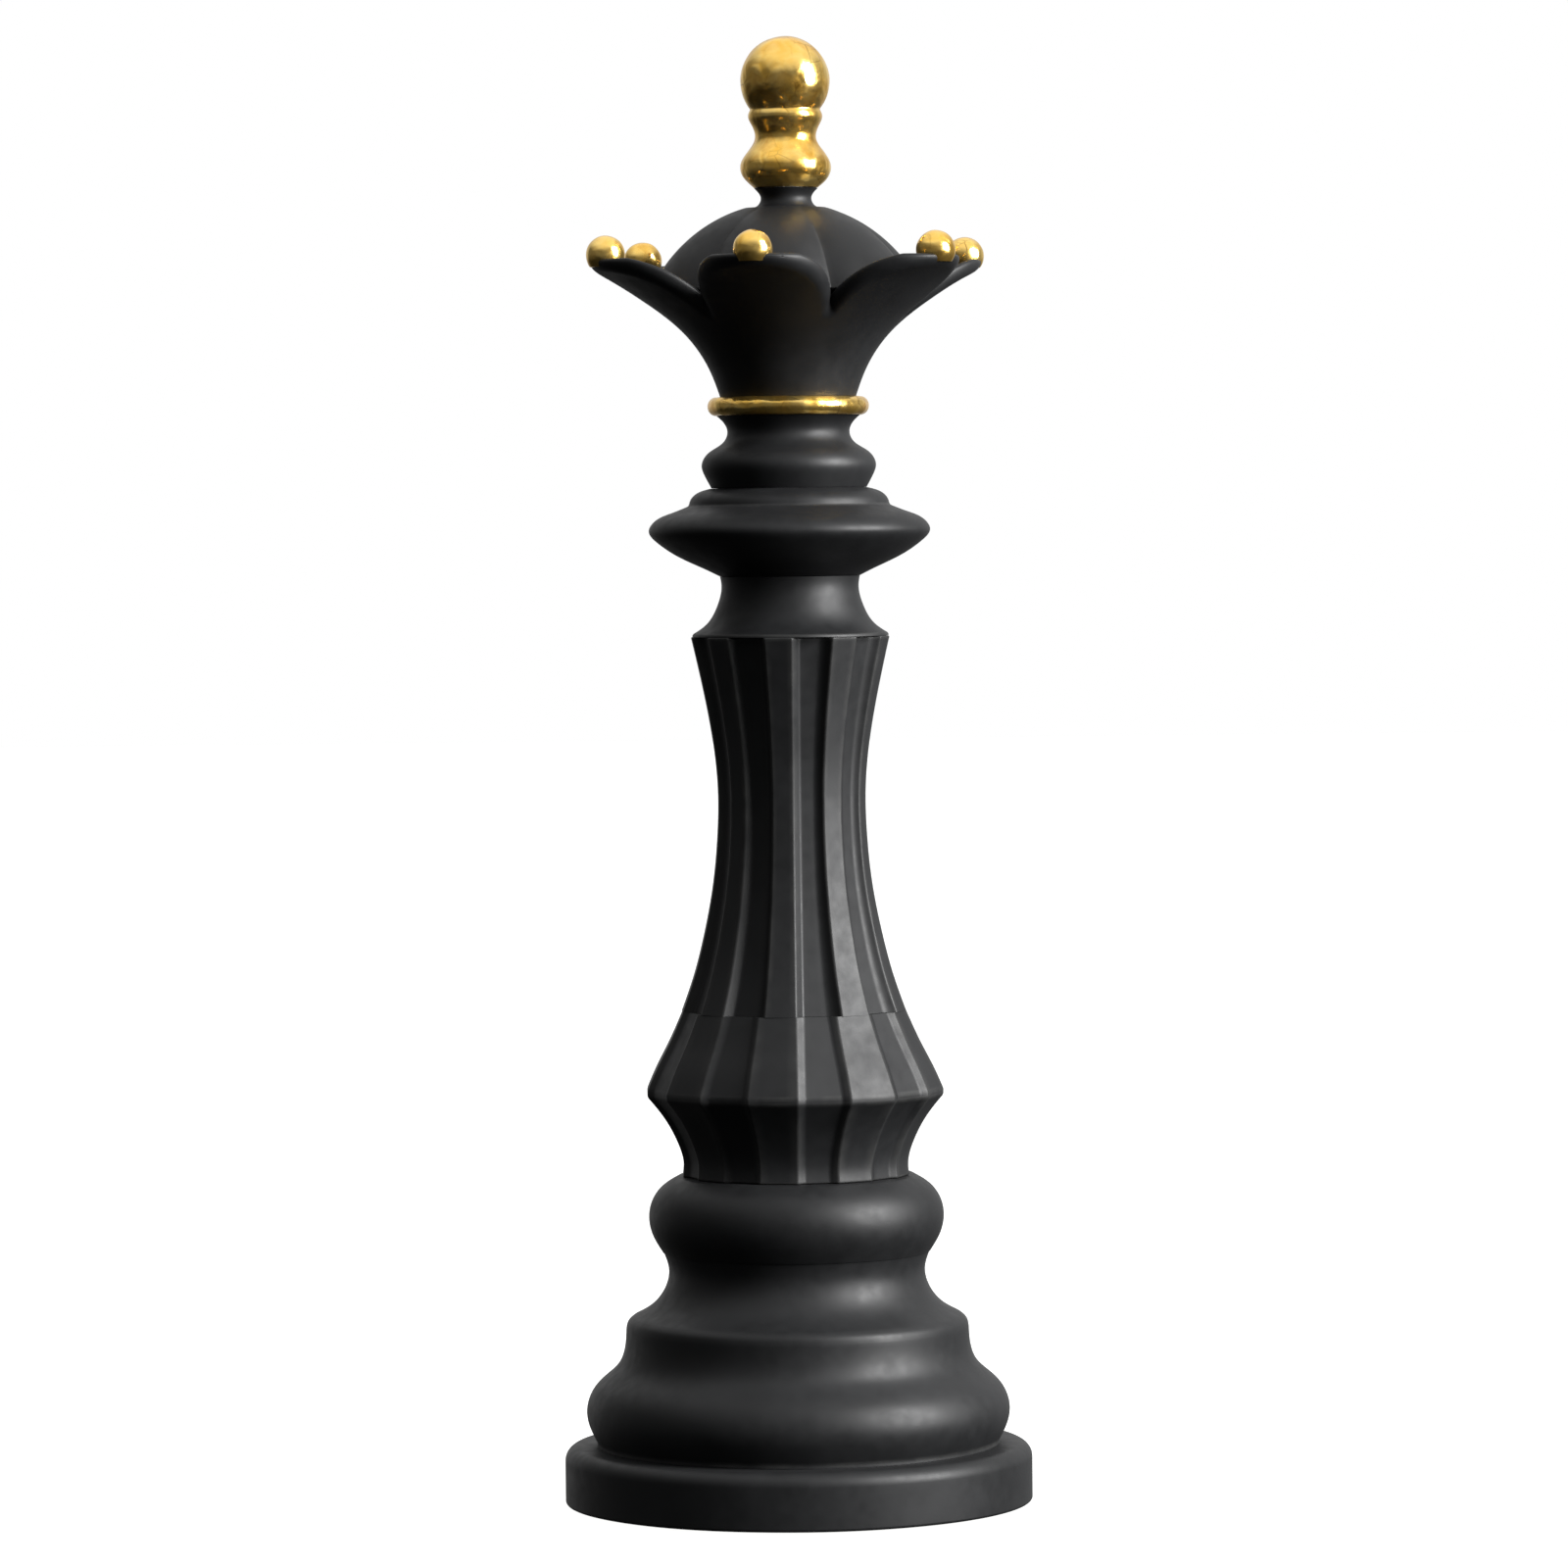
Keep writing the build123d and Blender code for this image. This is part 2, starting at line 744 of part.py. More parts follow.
pieces = {
    "base_felt": make_base_felt(),
    "base_cover": make_base_cover(),
    "cover_screws": make_cover_screws(),
    "ballast_weight": make_ballast_weight(),
    "base_washer": make_washer(washer_radius, base_washer_bottom, washer_thickness),
    "base_spring_washer": make_spring_washer(),
    "base_nut": make_nut(base_nut_bottom),
    "tie_rod": cylinder(rod_radius, rod_bottom, rod_top),
    "plinth": make_plinth(),
    "base_bell": make_base_bell(),
    "base_torus": make_base_torus(),
    "shaft_skirt": make_shaft_skirt(),
    "shaft_column": make_shaft_column(),
    "column_dowels": make_column_dowels(),
    "neck": make_neck(),
    "collar_disc": make_collar_disc(),
    "collar_bead": make_collar_bead(),
    "gold_ring": make_gold_ring(),
    "crown_key": make_crown_key(),
    "crown": make_crown(),
    "crown_washer": make_washer(washer_radius, crown_inside, washer_thickness),
    "crown_nut": make_nut(crown_inside + washer_thickness),
    "crown_dome": make_crown_dome(),
    "bead_pins": make_bead_pins(),
    "finial_washer": make_finial_washer(),
    "finial": make_finial(),
    "finial_insert": make_finial_insert(),
}
for number, place in enumerate(bead_places(), start=1):
    pieces[f"crown_bead_{number}"] = make_crown_bead(place)

os.makedirs("parts", exist_ok=True)
for name, piece in pieces.items():
    export_step(piece, f"parts/{name}.step")
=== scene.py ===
import json
import math
import bmesh
import bpy
import numpy as np
from bpy.props import FloatProperty, FloatVectorProperty, IntProperty, PointerProperty
from mathutils import Matrix, Vector, noise


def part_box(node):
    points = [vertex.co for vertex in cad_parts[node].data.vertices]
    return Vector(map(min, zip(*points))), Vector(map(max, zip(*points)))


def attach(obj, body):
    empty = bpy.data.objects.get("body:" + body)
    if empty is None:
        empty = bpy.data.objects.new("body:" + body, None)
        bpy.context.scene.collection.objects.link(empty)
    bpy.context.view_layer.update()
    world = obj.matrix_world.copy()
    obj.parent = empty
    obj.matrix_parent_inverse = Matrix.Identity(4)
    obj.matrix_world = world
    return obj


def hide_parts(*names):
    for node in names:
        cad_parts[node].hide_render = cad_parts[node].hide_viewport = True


bl_info = {
    "name": "Gilded Chess Queen",
    "version": (1, 0, 0),
    "blender": (4, 5, 0),
    "location": "View3D > Sidebar > Chess Queen",
    "description": "Makes the turned, fluted and gilded chess queen, piece by piece",
    "category": "Add Mesh",
}

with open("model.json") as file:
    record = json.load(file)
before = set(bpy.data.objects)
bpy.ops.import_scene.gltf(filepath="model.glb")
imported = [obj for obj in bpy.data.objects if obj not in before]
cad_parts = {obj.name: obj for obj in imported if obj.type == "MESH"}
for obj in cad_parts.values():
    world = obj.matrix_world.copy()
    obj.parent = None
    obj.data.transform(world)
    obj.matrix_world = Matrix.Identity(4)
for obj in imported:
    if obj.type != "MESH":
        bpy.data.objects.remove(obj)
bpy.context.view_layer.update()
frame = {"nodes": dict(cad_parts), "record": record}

MM = 0.001
TURN_STEPS = 192           # steps round a turned piece
ROD_HOLE = 3.3             # millimetres, as is every radius and height until a mesh is made
CLEARANCE = 0.3            # between a piece and what fits in it
PLINTH_WEB = 3.3           # floor of the plinth over its pocket
BELL_WALL = 4.0
SECTION_WEB = 4.8          # closed top of a hollow section
BALLAST_HUB = 24.0         # radius of the ballast weight's hub
TORUS_SOCKET = 24.0        # inside radius of a hollow section, here and in the next three
SKIRT_SOCKET = 20.0
COLUMN_SOCKET = 12.5
COLLAR_SOCKET = 10.0


# ---- Sizes and colours that a user would change --------------

def length(name, default_mm, description):
    """Length property in metres whose default is given in millimetres."""
    return FloatProperty(
        name=name,
        description=description,
        default=default_mm * MM,
        min=0.0,
        unit="LENGTH",
        precision=5,
    )


def rotation(name, degrees, description):
    """Angle property whose default is given in degrees."""
    return FloatProperty(name=name, description=description, default=math.radians(degrees), unit="ROTATION")


def amount(name, default, description, **limits):
    """Plain number property that is never negative."""
    return FloatProperty(name=name, description=description, default=default, min=0.0, **limits)


def colour(name, default, description):
    """Linear colour property."""
    return FloatVectorProperty(
        name=name, description=description, default=default, size=3, min=0.0, max=1.0, subtype="COLOR"
    )


class BaseSizes(bpy.types.PropertyGroup):
    plinth_radius: length("Plinth radius", 58.3, "Outer radius of the plinth")
    plinth_top_round: length("Plinth top rounding", 3.6, "Rounding of the plinth's upper rim")
    plinth_bottom_round: length("Plinth bottom rounding", 0.8, "Rounding of the plinth's lower rim")
    pocket_radius: length("Pocket radius", 51.3, "Pocket under the plinth that holds the cover")
    bell_foot: length("Bell foot radius", 50.2, "Thin listel that the bell stands on")
    bell_bulge: length("Bell bulge radius", 52.8, "Widest part of the bell")
    bell_step: length("Bell step radius", 42.75, "Rounded step half way up the bell")
    bell_scotia: length("Bell scotia radius", 31.95, "Narrowest part of the bell")
    bell_top: length("Bell top radius", 33.2, "Upper edge of the bell")
    torus: length("Torus radius", 36.8, "Widest part of the torus moulding")
    torus_top: length("Torus top radius", 29.4, "Upper edge of the torus moulding")


class ShaftSizes(bpy.types.PropertyGroup):
    facets: IntProperty(name="Facets", description="Lands round the shaft", default=9, min=3)
    first_land: rotation("First land", 1.0, "Angle of the first land's edge from the front")
    panel_angle: rotation("Panel angle", 20.5, "Width of a sunk panel")
    flute_angle: rotation("Flute angle", 23.5, "Width of a flute")
    hollow_angle: rotation("Hollow angle", 8.0, "Width of a flute's rounded far wall")
    flute_depth: amount("Flute depth", 0.097, "Depth of a flute as a share of the radius there", max=0.3)
    wall_run: length("Wall run", 1.8, "Width of the sloping wall beside a panel or flute")
    panel_depth: length("Panel depth", 1.3, "Depth of a sunk panel")
    waist: length("Waist radius", 28.4, "Narrowest part of the waist")
    skirt_edge: length("Skirt edge radius", 37.4, "Sharp edge of the skirt")
    column_base: length("Column base radius", 28.25, "Column at the seam")
    column_slim: length("Column slim radius", 18.65, "Narrowest part of the column")
    column_top: length("Column top radius", 25.0, "Column under the neck")
    arris: length("Arris rounding", 0.45, "Rounding of the lands' edges")


class CollarSizes(bpy.types.PropertyGroup):
    neck_rim: length("Neck rim radius", 24.4, "Lower edge of the neck")
    neck_slim: length("Neck slim radius", 17.1, "Narrowest part of the neck")
    disc: length("Disc radius", 35.0, "Rounded edge of the collar disc")
    ovolo: length("Ovolo radius", 25.0, "Small moulding on the disc")
    bead: length("Bead radius", 21.7, "Widest part of the collar bead")
    bead_slim: length("Bead slim radius", 15.2, "Narrowest part of the collar bead")
    ring: length("Ring radius", 20.1, "Outer radius of the gold ring")
    ring_edge: length("Ring edge radius", 18.0, "Where the gold ring meets its neighbours")


class CrownSizes(bpy.types.PropertyGroup):
    petals: IntProperty(name="Petals", description="Petals round the crown", default=6, min=3)
    first_petal: rotation("First petal", -10.0, "Angle of the first petal from the front")
    reach: length("Petal reach", 50.8, "From the axis to a petal's tip")
    half_length: length("Petal half length", 18.6, "Half length of a petal's ellipse")
    half_width: length("Petal half width", 16.1, "Half width of a petal's ellipse")
    foot: length("Crown foot radius", 16.9, "Crown where it meets the gold ring")
    wall: length("Crown wall", 3.6, "Thickness of the crown")
    rim_under: length("Lower rim rounding", 2.4, "Rounding of a petal's lower edge")
    rim_over: length("Upper rim rounding", 0.9, "Rounding of a petal's upper edge")
    dome: length("Dome radius", 38.5, "Radius of the dome's lobes")
    dome_rise: length("Dome rise", 9.7, "Dome's centre above the crown's foot")
    stem: length("Stem radius", 6.3, "Narrowest part of the stem")
    stem_top: length("Stem top radius", 8.0, "Stem under the finial")
    bead: length("Bead radius", 4.9, "Radius of a gold bead")
    bead_circle: length("Bead circle", 47.4, "From the axis to a bead's middle")
    bead_sink: length("Bead sink", 2.9, "Depth of a bead's seat below its middle")


class FinialSizes(bpy.types.PropertyGroup):
    foot: length("Foot radius", 11.35, "Lower bead of the finial")
    slim: length("Slim radius", 7.7, "Narrowest part of the finial")
    bead: length("Bead radius", 9.3, "Small bead under the ball")
    ball: length("Ball radius", 11.2, "Ball on top")
    pitch: length("Thread pitch", 1.0, "Pitch of the tie rod's thread")


class FinishColours(bpy.types.PropertyGroup):
    black: colour("Black", (0.0060, 0.0062, 0.0066), "Satin black paint")
    dust: colour("Worn black", (0.030, 0.030, 0.029), "Black paint rubbed on the arrises")
    gold: colour("Gold", (0.96, 0.57, 0.10), "Gold leaf")
    gold_deep: colour("Deep gold", (0.66, 0.29, 0.02), "Thin or shaded gold leaf")
    gold_pale: colour("Pale gold", (1.0, 0.72, 0.24), "Burnished gold leaf")
    floor: colour("Floor", (0.80, 0.80, 0.79), "Pale studio floor")


class StageSizes(bpy.types.PropertyGroup):
    distance: length("Camera distance", 1770.0, "Camera to the axis of the queen")
    eye: length("Camera height", 246.5, "Camera above the floor")
    aim: length("Aim height", 179.5, "Height on the axis at the picture's centre")
    side: length("Sideways offset", 2.0, "How far the camera stands to the left of the axis")
    lens: FloatProperty(name="Lens", description="Focal length in millimetres", default=163.5, min=10.0)
    front_light: amount("Front light", 0.13, "Surroundings in front")
    back_light: amount("Back light", 0.7, "Surroundings behind")
    ceiling_light: amount("Ceiling light", 0.9, "Surroundings above")
    key_light: amount("Key light", 70.0, "Power of the soft box", unit="POWER")
    roll: rotation("Roll", 0.59, "Camera roll")


# ---- Lines drawn as (radius, height) in millimetres ----------

def smooth_line(points, spacing=0.8):
    """Evenly stepped natural cubic line through (radius, height) points."""
    knots = np.array(points, dtype=float)
    span = np.linalg.norm(np.diff(knots, axis=0), axis=1)
    reach = np.concatenate(([0.0], np.cumsum(span)))
    count = len(knots)
    system = np.eye(count)
    bend = np.zeros((count, 2))
    for i in range(1, count - 1):
        system[i, i - 1:i + 2] = span[i - 1], 2 * (span[i - 1] + span[i]), span[i]
        bend[i] = 6 * ((knots[i + 1] - knots[i]) / span[i] - (knots[i] - knots[i - 1]) / span[i - 1])
    bend = np.linalg.solve(system, bend)
    line = []
    for place in np.linspace(0.0, reach[-1], max(2, round(reach[-1] / spacing)) + 1):
        i = min(int(np.searchsorted(reach, place, side="right")) - 1, count - 2)
        h = span[i]
        before = reach[i + 1] - place
        after = place - reach[i]
        point = (bend[i] * before**3 + bend[i + 1] * after**3) / (6 * h)
        point += (knots[i] / h - bend[i] * h / 6) * before + (knots[i + 1] / h - bend[i + 1] * h / 6) * after
        line.append((float(point[0]), float(point[1])))
    return line


def arc_line(radius, height, size, start, end, steps=24):
    """Arc about (radius, height), from a start to an end angle in degrees above level."""
    turns = [math.radians(start + (end - start) * i / steps) for i in range(steps + 1)]
    return [(radius + size * math.cos(t), height + size * math.sin(t)) for t in turns]


def outline(*runs):
    """One closed line from runs that follow each other."""
    points = []
    for run in runs:
        for point in run:
            if not points or math.dist(point, points[-1]) > 1e-4:
                points.append(point)
    if math.dist(points[0], points[-1]) < 1e-4:
        points.pop()
    return points


def level(node, top=False):
    """Height of a CAD node's foot, or of its top, in millimetres."""
    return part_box(node)[1 if top else 0][2] / MM


def mm(size):
    """A size property in millimetres."""
    return size / MM


def at_angle(radius, angle, height):
    """Point at an angle from the front (-Y), positive towards +X, in metres."""
    return Vector((radius * math.sin(angle) * MM, -radius * math.cos(angle) * MM, height * MM))


# ---- Mesh work -----------------------------------------------

def spun(bm, geom, steps, angle=math.tau, rise=0.0, **options):
    """Spins geometry about the vertical axis, rising by so many metres at each step."""
    bmesh.ops.spin(
        bm, geom=geom, cent=(0, 0, 0), axis=(0, 0, 1), dvec=(0, 0, rise), angle=angle, steps=steps, **options
    )


def line_of(bm, points, closed=False):
    """Vertices and edges along (radius, height) points, in the plane of the X and Z axes."""
    verts = [bm.verts.new((radius * MM, 0, height * MM)) for radius, height in points]
    pairs = zip(verts[-1:] + verts, verts) if closed else zip(verts, verts[1:])
    return verts + [bm.edges.new(pair) for pair in pairs]


def everything(bm):
    """All the geometry in a bmesh."""
    return bm.verts[:] + bm.edges[:] + bm.faces[:]


def turned(points, steps=TURN_STEPS):
    """Closed outline spun about the vertical axis."""
    bm = bmesh.new()
    spun(bm, line_of(bm, points, closed=True), steps, use_merge=True)
    tidy(bm)
    return bm


def tidy(bm):
    """Welds doubles and turns every face outwards."""
    bmesh.ops.remove_doubles(bm, verts=bm.verts, dist=1e-6)
    bmesh.ops.recalc_face_normals(bm, faces=bm.faces)


def copies_round(bm, count):
    """Repeats everything evenly round the vertical axis, and welds the copies."""
    spun(bm, everything(bm), count - 1, angle=math.tau * (count - 1) / count, use_duplicate=True)
    tidy(bm)


def cut_flat(bm, place, way):
    """Cuts away what lies past a level plane, and closes the cut with a face."""
    cut = bmesh.ops.bisect_plane(
        bm, geom=everything(bm), plane_co=(0, 0, place), plane_no=(0, 0, way), clear_outer=True
    )
    rim = [part for part in cut["geom_cut"] if isinstance(part, bmesh.types.BMEdge)]
    bmesh.ops.contextual_create(bm, geom=rim)


def curled_sheet(bm, columns, rows, place):
    """Grid whose point at (across, up), each from 0 to 1, is moved to place(across, up)."""
    made = bmesh.ops.create_grid(bm, x_segments=columns, y_segments=rows, size=1.0)
    for vert in made["verts"]:
        vert.co = place((vert.co.x + 1) / 2, (vert.co.y + 1) / 2)


def lies_at(edge, heights):
    """Whether an edge lies level at one of some heights in millimetres."""
    return any(all(abs(vert.co.z - height * MM) < 1e-5 for vert in edge.verts) for height in heights)


def soften(bm, width, beyond, angle=28.0, joints=()):
    """Rounds the sharp edges beyond a radius and marks them as arrises, but not those at closed joints."""
    mark = bm.verts.layers.float.get("arris") or bm.verts.layers.float.new("arris")
    sharp = [
        edge
        for edge in bm.edges
        if edge.is_manifold
        and edge.calc_face_angle() > math.radians(angle)
        and min(vert.co.xy.length for vert in edge.verts) > beyond * MM
        and not lies_at(edge, joints)
    ]
    made = bmesh.ops.bevel(
        bm,
        geom=sharp,
        offset=width * MM,
        offset_type="OFFSET",
        segments=3,
        profile=0.5,
        affect="EDGES",
        material=-1,
        clamp_overlap=True,
    )
    for face in made["faces"]:
        for vert in face.verts:
            vert[mark] = 1.0


def close_with_core(bm, core):
    """Closes a skin that is open at its foot and at its top with a spun core of (radius, height) points."""
    ends = (core[0][1], core[-1][1])
    steps = sum(edge.is_boundary and lies_at(edge, ends[:1]) for edge in bm.edges)
    spun(bm, line_of(bm, core), steps, use_merge=True)
    bmesh.ops.remove_doubles(bm, verts=bm.verts, dist=1e-6)
    for height in ends:
        rings = [edge for edge in bm.edges if edge.is_boundary and lies_at(edge, (height,))]
        bmesh.ops.bridge_loops(bm, edges=rings)
    tidy(bm)


def hand_finish(bm, depth, grain, seed):
    """Unevenness of a hand-finished casting: the surface dips by up to a depth."""
    bm.normal_update()
    shift = Vector((seed * 3.7, seed * 1.9, seed * 2.3))
    for vert in bm.verts:
        dip = 0.5 + 0.5 * noise.noise(vert.co / (grain * MM) + shift)
        vert.co -= vert.normal * dip * depth * MM


def as_mesh(bm, name):
    """Mesh made from a bmesh, which is freed."""
    mesh = bpy.data.meshes.new(name)
    bm.to_mesh(mesh)
    bm.free()
    return mesh


def added(name, data):
    """Object that shows some data, added to the scene."""
    item = bpy.data.objects.new(name, data)
    bpy.context.scene.collection.objects.link(item)
    return item


def as_piece(bm, name, slot, nodes, body="statue"):
    """Turns a bmesh into a finished piece that stands for CAD nodes and rides on a body."""
    mesh = as_mesh(bm, name)
    mesh.shade_smooth()
    mesh.set_sharp_from_angle(angle=math.radians(35))
    piece = added(name, mesh)
    mesh.materials.append(finish(slot))
    normals = piece.modifiers.new("Even shading", "WEIGHTED_NORMAL")
    normals.keep_sharp = True
    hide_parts(*nodes)
    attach(piece, body)


# ---- Materials -----------------------------------------------

def new_material(name, roughness, metallic=0.0):
    """Node tree and Principled shader of a new material."""
    material = bpy.data.materials.new(name)
    material.use_nodes = True
    tree = material.node_tree
    shader = next(node for node in tree.nodes if node.type == "BSDF_PRINCIPLED")
    shader.inputs["Roughness"].default_value = roughness
    shader.inputs["Metallic"].default_value = metallic
    return tree, shader


def clouds(tree, size_mm, detail=4.0, distortion=0.0):
    """Noise in Object coordinates whose features are about a size across."""
    coords = tree.nodes.new("ShaderNodeTexCoord")
    pattern = tree.nodes.new("ShaderNodeTexNoise")
    pattern.inputs["Scale"].default_value = 1.0 / (size_mm * MM)
    pattern.inputs["Detail"].default_value = detail
    pattern.inputs["Distortion"].default_value = distortion
    tree.links.new(coords.outputs["Object"], pattern.inputs["Vector"])
    return pattern.outputs["Fac"]


def cells(tree, size_mm, feature="F1", output="Distance"):
    """Voronoi cells in Object coordinates, about a size across."""
    coords = tree.nodes.new("ShaderNodeTexCoord")
    pattern = tree.nodes.new("ShaderNodeTexVoronoi")
    pattern.feature = feature
    pattern.inputs["Scale"].default_value = 1.0 / (size_mm * MM)
    tree.links.new(coords.outputs["Object"], pattern.inputs["Vector"])
    return pattern.outputs[output]


def spread(tree, source, low, high, from_low=0.3, from_high=0.7):
    """Maps a pattern's middle range to low..high."""
    node = tree.nodes.new("ShaderNodeMapRange")
    node.inputs["From Min"].default_value = from_low
    node.inputs["From Max"].default_value = from_high
    node.inputs["To Min"].default_value = low
    node.inputs["To Max"].default_value = high
    tree.links.new(source, node.inputs["Value"])
    return node.outputs["Result"]


def patches(tree, *pattern):
    """Clouds spread over the whole range from 0 to 1."""
    return spread(tree, clouds(tree, *pattern), 0.0, 1.0)


def blend_colours(tree, factor, first, second):
    """Mixes two colours, each a tuple or a socket, by a factor socket."""
    node = tree.nodes.new("ShaderNodeMix")
    node.data_type = "RGBA"
    tree.links.new(factor, node.inputs["Factor"])
    for value, socket in ((first, node.inputs["A"]), (second, node.inputs["B"])):
        if isinstance(value, bpy.types.NodeSocket):
            tree.links.new(value, socket)
        else:
            socket.default_value = (*value, 1.0)
    return node.outputs["Result"]


def relief(tree, shader, height, strength, depth_mm, under=None):
    """Bump from a height pattern, on top of an earlier bump if one is given."""
    node = tree.nodes.new("ShaderNodeBump")
    node.inputs["Strength"].default_value = strength
    node.inputs["Distance"].default_value = depth_mm * MM
    tree.links.new(height, node.inputs["Height"])
    if under is not None:
        tree.links.new(under, node.inputs["Normal"])
    tree.links.new(node.outputs["Normal"], shader.inputs["Normal"])
    return node.outputs["Normal"]


def combined(tree, first, second, operation="MULTIPLY"):
    """Product or other combination of two sockets."""
    node = tree.nodes.new("ShaderNodeMath")
    node.operation = operation
    tree.links.new(first, node.inputs[0])
    tree.links.new(second, node.inputs[1])
    return node.outputs["Value"]


def satin_black():
    """Satin black paint on cast resin, a little paler where arrises are rubbed."""
    colours = bpy.context.scene.queen_colours
    tree, shader = new_material("satin_black", 0.45)
    shader.inputs["Specular IOR Level"].default_value = 0.24
    black = tuple(colours.black)
    lifted = tuple(1.5 * part for part in black)
    mottle = blend_colours(tree, patches(tree, 14.0), black, lifted)
    rubbed = tree.nodes.new("ShaderNodeAttribute")
    rubbed.attribute_name = "arris"
    patchy = combined(tree, rubbed.outputs["Fac"], spread(tree, clouds(tree, 6.0), 0.05, 0.5))
    tree.links.new(blend_colours(tree, patchy, mottle, tuple(colours.dust)), shader.inputs["Base Color"])
    tree.links.new(spread(tree, clouds(tree, 3.5, 6.0), 0.46, 0.56), shader.inputs["Roughness"])
    soft = relief(tree, shader, clouds(tree, 9.0, 2.0), 0.25, 0.12)
    relief(tree, shader, clouds(tree, 0.5, 3.0), 0.10, 0.02, soft)


def gold_leaf():
    """Gold leaf rubbed over the casting: patches, laps and fine wrinkles."""
    colours = bpy.context.scene.queen_colours
    tree, shader = new_material("leaf_gilding", 0.2, metallic=0.96)
    shade = tree.nodes.new("ShaderNodeSeparateColor")
    tree.links.new(cells(tree, 7.0, output="Color"), shade.inputs["Color"])
    body = blend_colours(tree, patches(tree, 5.0, 5.0, 0.6), tuple(colours.gold), tuple(colours.gold_pale))
    laps = combined(tree, spread(tree, shade.outputs["Red"], 0.0, 0.6, 0.2, 0.9), patches(tree, 2.6, 4.0))
    body = blend_colours(tree, laps, body, tuple(colours.gold_deep))
    crack = spread(tree, cells(tree, 5.5, "DISTANCE_TO_EDGE"), 1.0, 0.0, 0.0, 0.035)
    sparse = combined(tree, crack, spread(tree, clouds(tree, 8.0, 2.0), 0.0, 0.8, 0.5, 0.7))
    body = blend_colours(tree, sparse, body, tuple(0.35 * part for part in colours.gold_deep))
    tree.links.new(body, shader.inputs["Base Color"])
    tree.links.new(spread(tree, clouds(tree, 2.2, 5.0), 0.14, 0.27), shader.inputs["Roughness"])
    soft = relief(tree, shader, clouds(tree, 5.0, 1.0, 0.6), 0.6, 0.6)
    relief(tree, shader, clouds(tree, 1.2, 3.0, 1.0), 0.2, 0.05, soft)


def mottled(name, roughness, metallic, tones, mottle, dullness, grain, strength, depth_mm):
    """Shader of a new material in two tones, whose mottle and fine grain are given as what clouds takes.

    Dullness is the lowest and highest roughness, then what clouds takes.
    """
    tree, shader = new_material(name, roughness, metallic)
    tree.links.new(blend_colours(tree, patches(tree, *mottle), *tones), shader.inputs["Base Color"])
    if dullness:
        low, high, *pattern = dullness
        tree.links.new(spread(tree, clouds(tree, *pattern), low, high), shader.inputs["Roughness"])
    relief(tree, shader, clouds(tree, *grain), strength, depth_mm)
    return shader


def zinc_steel():
    """Zinc-plated steel with fine drawn lines and dull patches."""
    tones = (0.55, 0.56, 0.57), (0.70, 0.71, 0.70)
    mottled("drawn_zinc_steel", 0.32, 1.0, tones, (4.0,), (0.24, 0.42, 1.2, 5.0), (0.4, 3.0), 0.15, 0.02)


def turned_brass():
    """Bright turned brass with faint tarnish."""
    tones = (0.78, 0.58, 0.25), (0.60, 0.41, 0.16)
    mottled("turned_brass", 0.28, 1.0, tones, (3.0,), (0.20, 0.38, 1.0, 5.0), (0.5, 2.0), 0.1, 0.02)


def cast_iron():
    """Sand-cast iron: dark, pitted and rough."""
    tones = (0.06, 0.06, 0.062), (0.13, 0.12, 0.11)
    mottled("sand_cast_iron", 0.7, 0.7, tones, (3.0, 6.0), (0.55, 0.85, 1.5, 5.0), (0.9, 5.0), 0.6, 0.15)


def pressed_felt():
    """Black pressed wool felt with a matted, fibrous surface."""
    tones = (0.012, 0.012, 0.013), (0.045, 0.044, 0.043)
    shader = mottled("pressed_felt", 0.95, 0.0, tones, (1.4, 8.0, 2.5), None, (0.45, 8.0, 3.0), 0.9, 0.25)
    shader.inputs["Sheen Weight"].default_value = 0.5
    shader.inputs["Sheen Roughness"].default_value = 0.5


def moulded_plastic(name, *tones):
    """Injection-moulded plastic with a fine spark-eroded grain."""
    mottled(name, 0.55, 0.0, tones, (8.0,), (0.48, 0.62, 0.8, 3.0), (0.35, 2.0), 0.3, 0.03)


def cover_plastic():
    moulded_plastic("black_plastic", (0.05, 0.05, 0.052), (0.03, 0.03, 0.032))


def nylon():
    moulded_plastic("natural_nylon", (0.78, 0.76, 0.70), (0.68, 0.66, 0.60))


FINISHES = {               # by the record's slot name: the material's name and what makes it
    "black_resin": ("satin_black", satin_black),
    "gold_leaf": ("leaf_gilding", gold_leaf),
    "zinc_steel": ("drawn_zinc_steel", zinc_steel),
    "brass": ("turned_brass", turned_brass),
    "cast_iron": ("sand_cast_iron", cast_iron),
    "black_felt": ("pressed_felt", pressed_felt),
    "cover_plastic": ("black_plastic", cover_plastic),
    "nylon": ("natural_nylon", nylon),
}


def finish(slot):
    """The material of one slot, made when it is first asked for."""
    name, make = FINISHES[slot]
    if name not in bpy.data.materials:
        make()
    return bpy.data.materials[name]


# ---- Base ----------------------------------------------------

def plinth_points(sizes):
    """Plinth: two rounded rims, and the stepped pocket under it."""
    foot, cover, top = level("plinth"), level("ballast_weight"), level("base_bell")
    radius, pocket = mm(sizes.plinth_radius), mm(sizes.pocket_radius)
    high, low = mm(sizes.plinth_top_round), mm(sizes.plinth_bottom_round)
    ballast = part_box("ballast_weight")[1][0] / MM + CLEARANCE
    web = top - PLINTH_WEB
    hub = BALLAST_HUB + CLEARANCE
    return outline(
        [(pocket, foot), (radius - low, foot)],
        arc_line(radius - low, foot + low, low, -90, 0, 8),
        smooth_line([(radius, foot + low), (radius, top - high)], 1.0),
        arc_line(radius - high, top - high, high, 0, 90, 12),
        smooth_line([(radius - high, top), (hub, top)], 2.0),
        [(hub, web), (ballast, web), (ballast, cover), (pocket, cover)],
    )


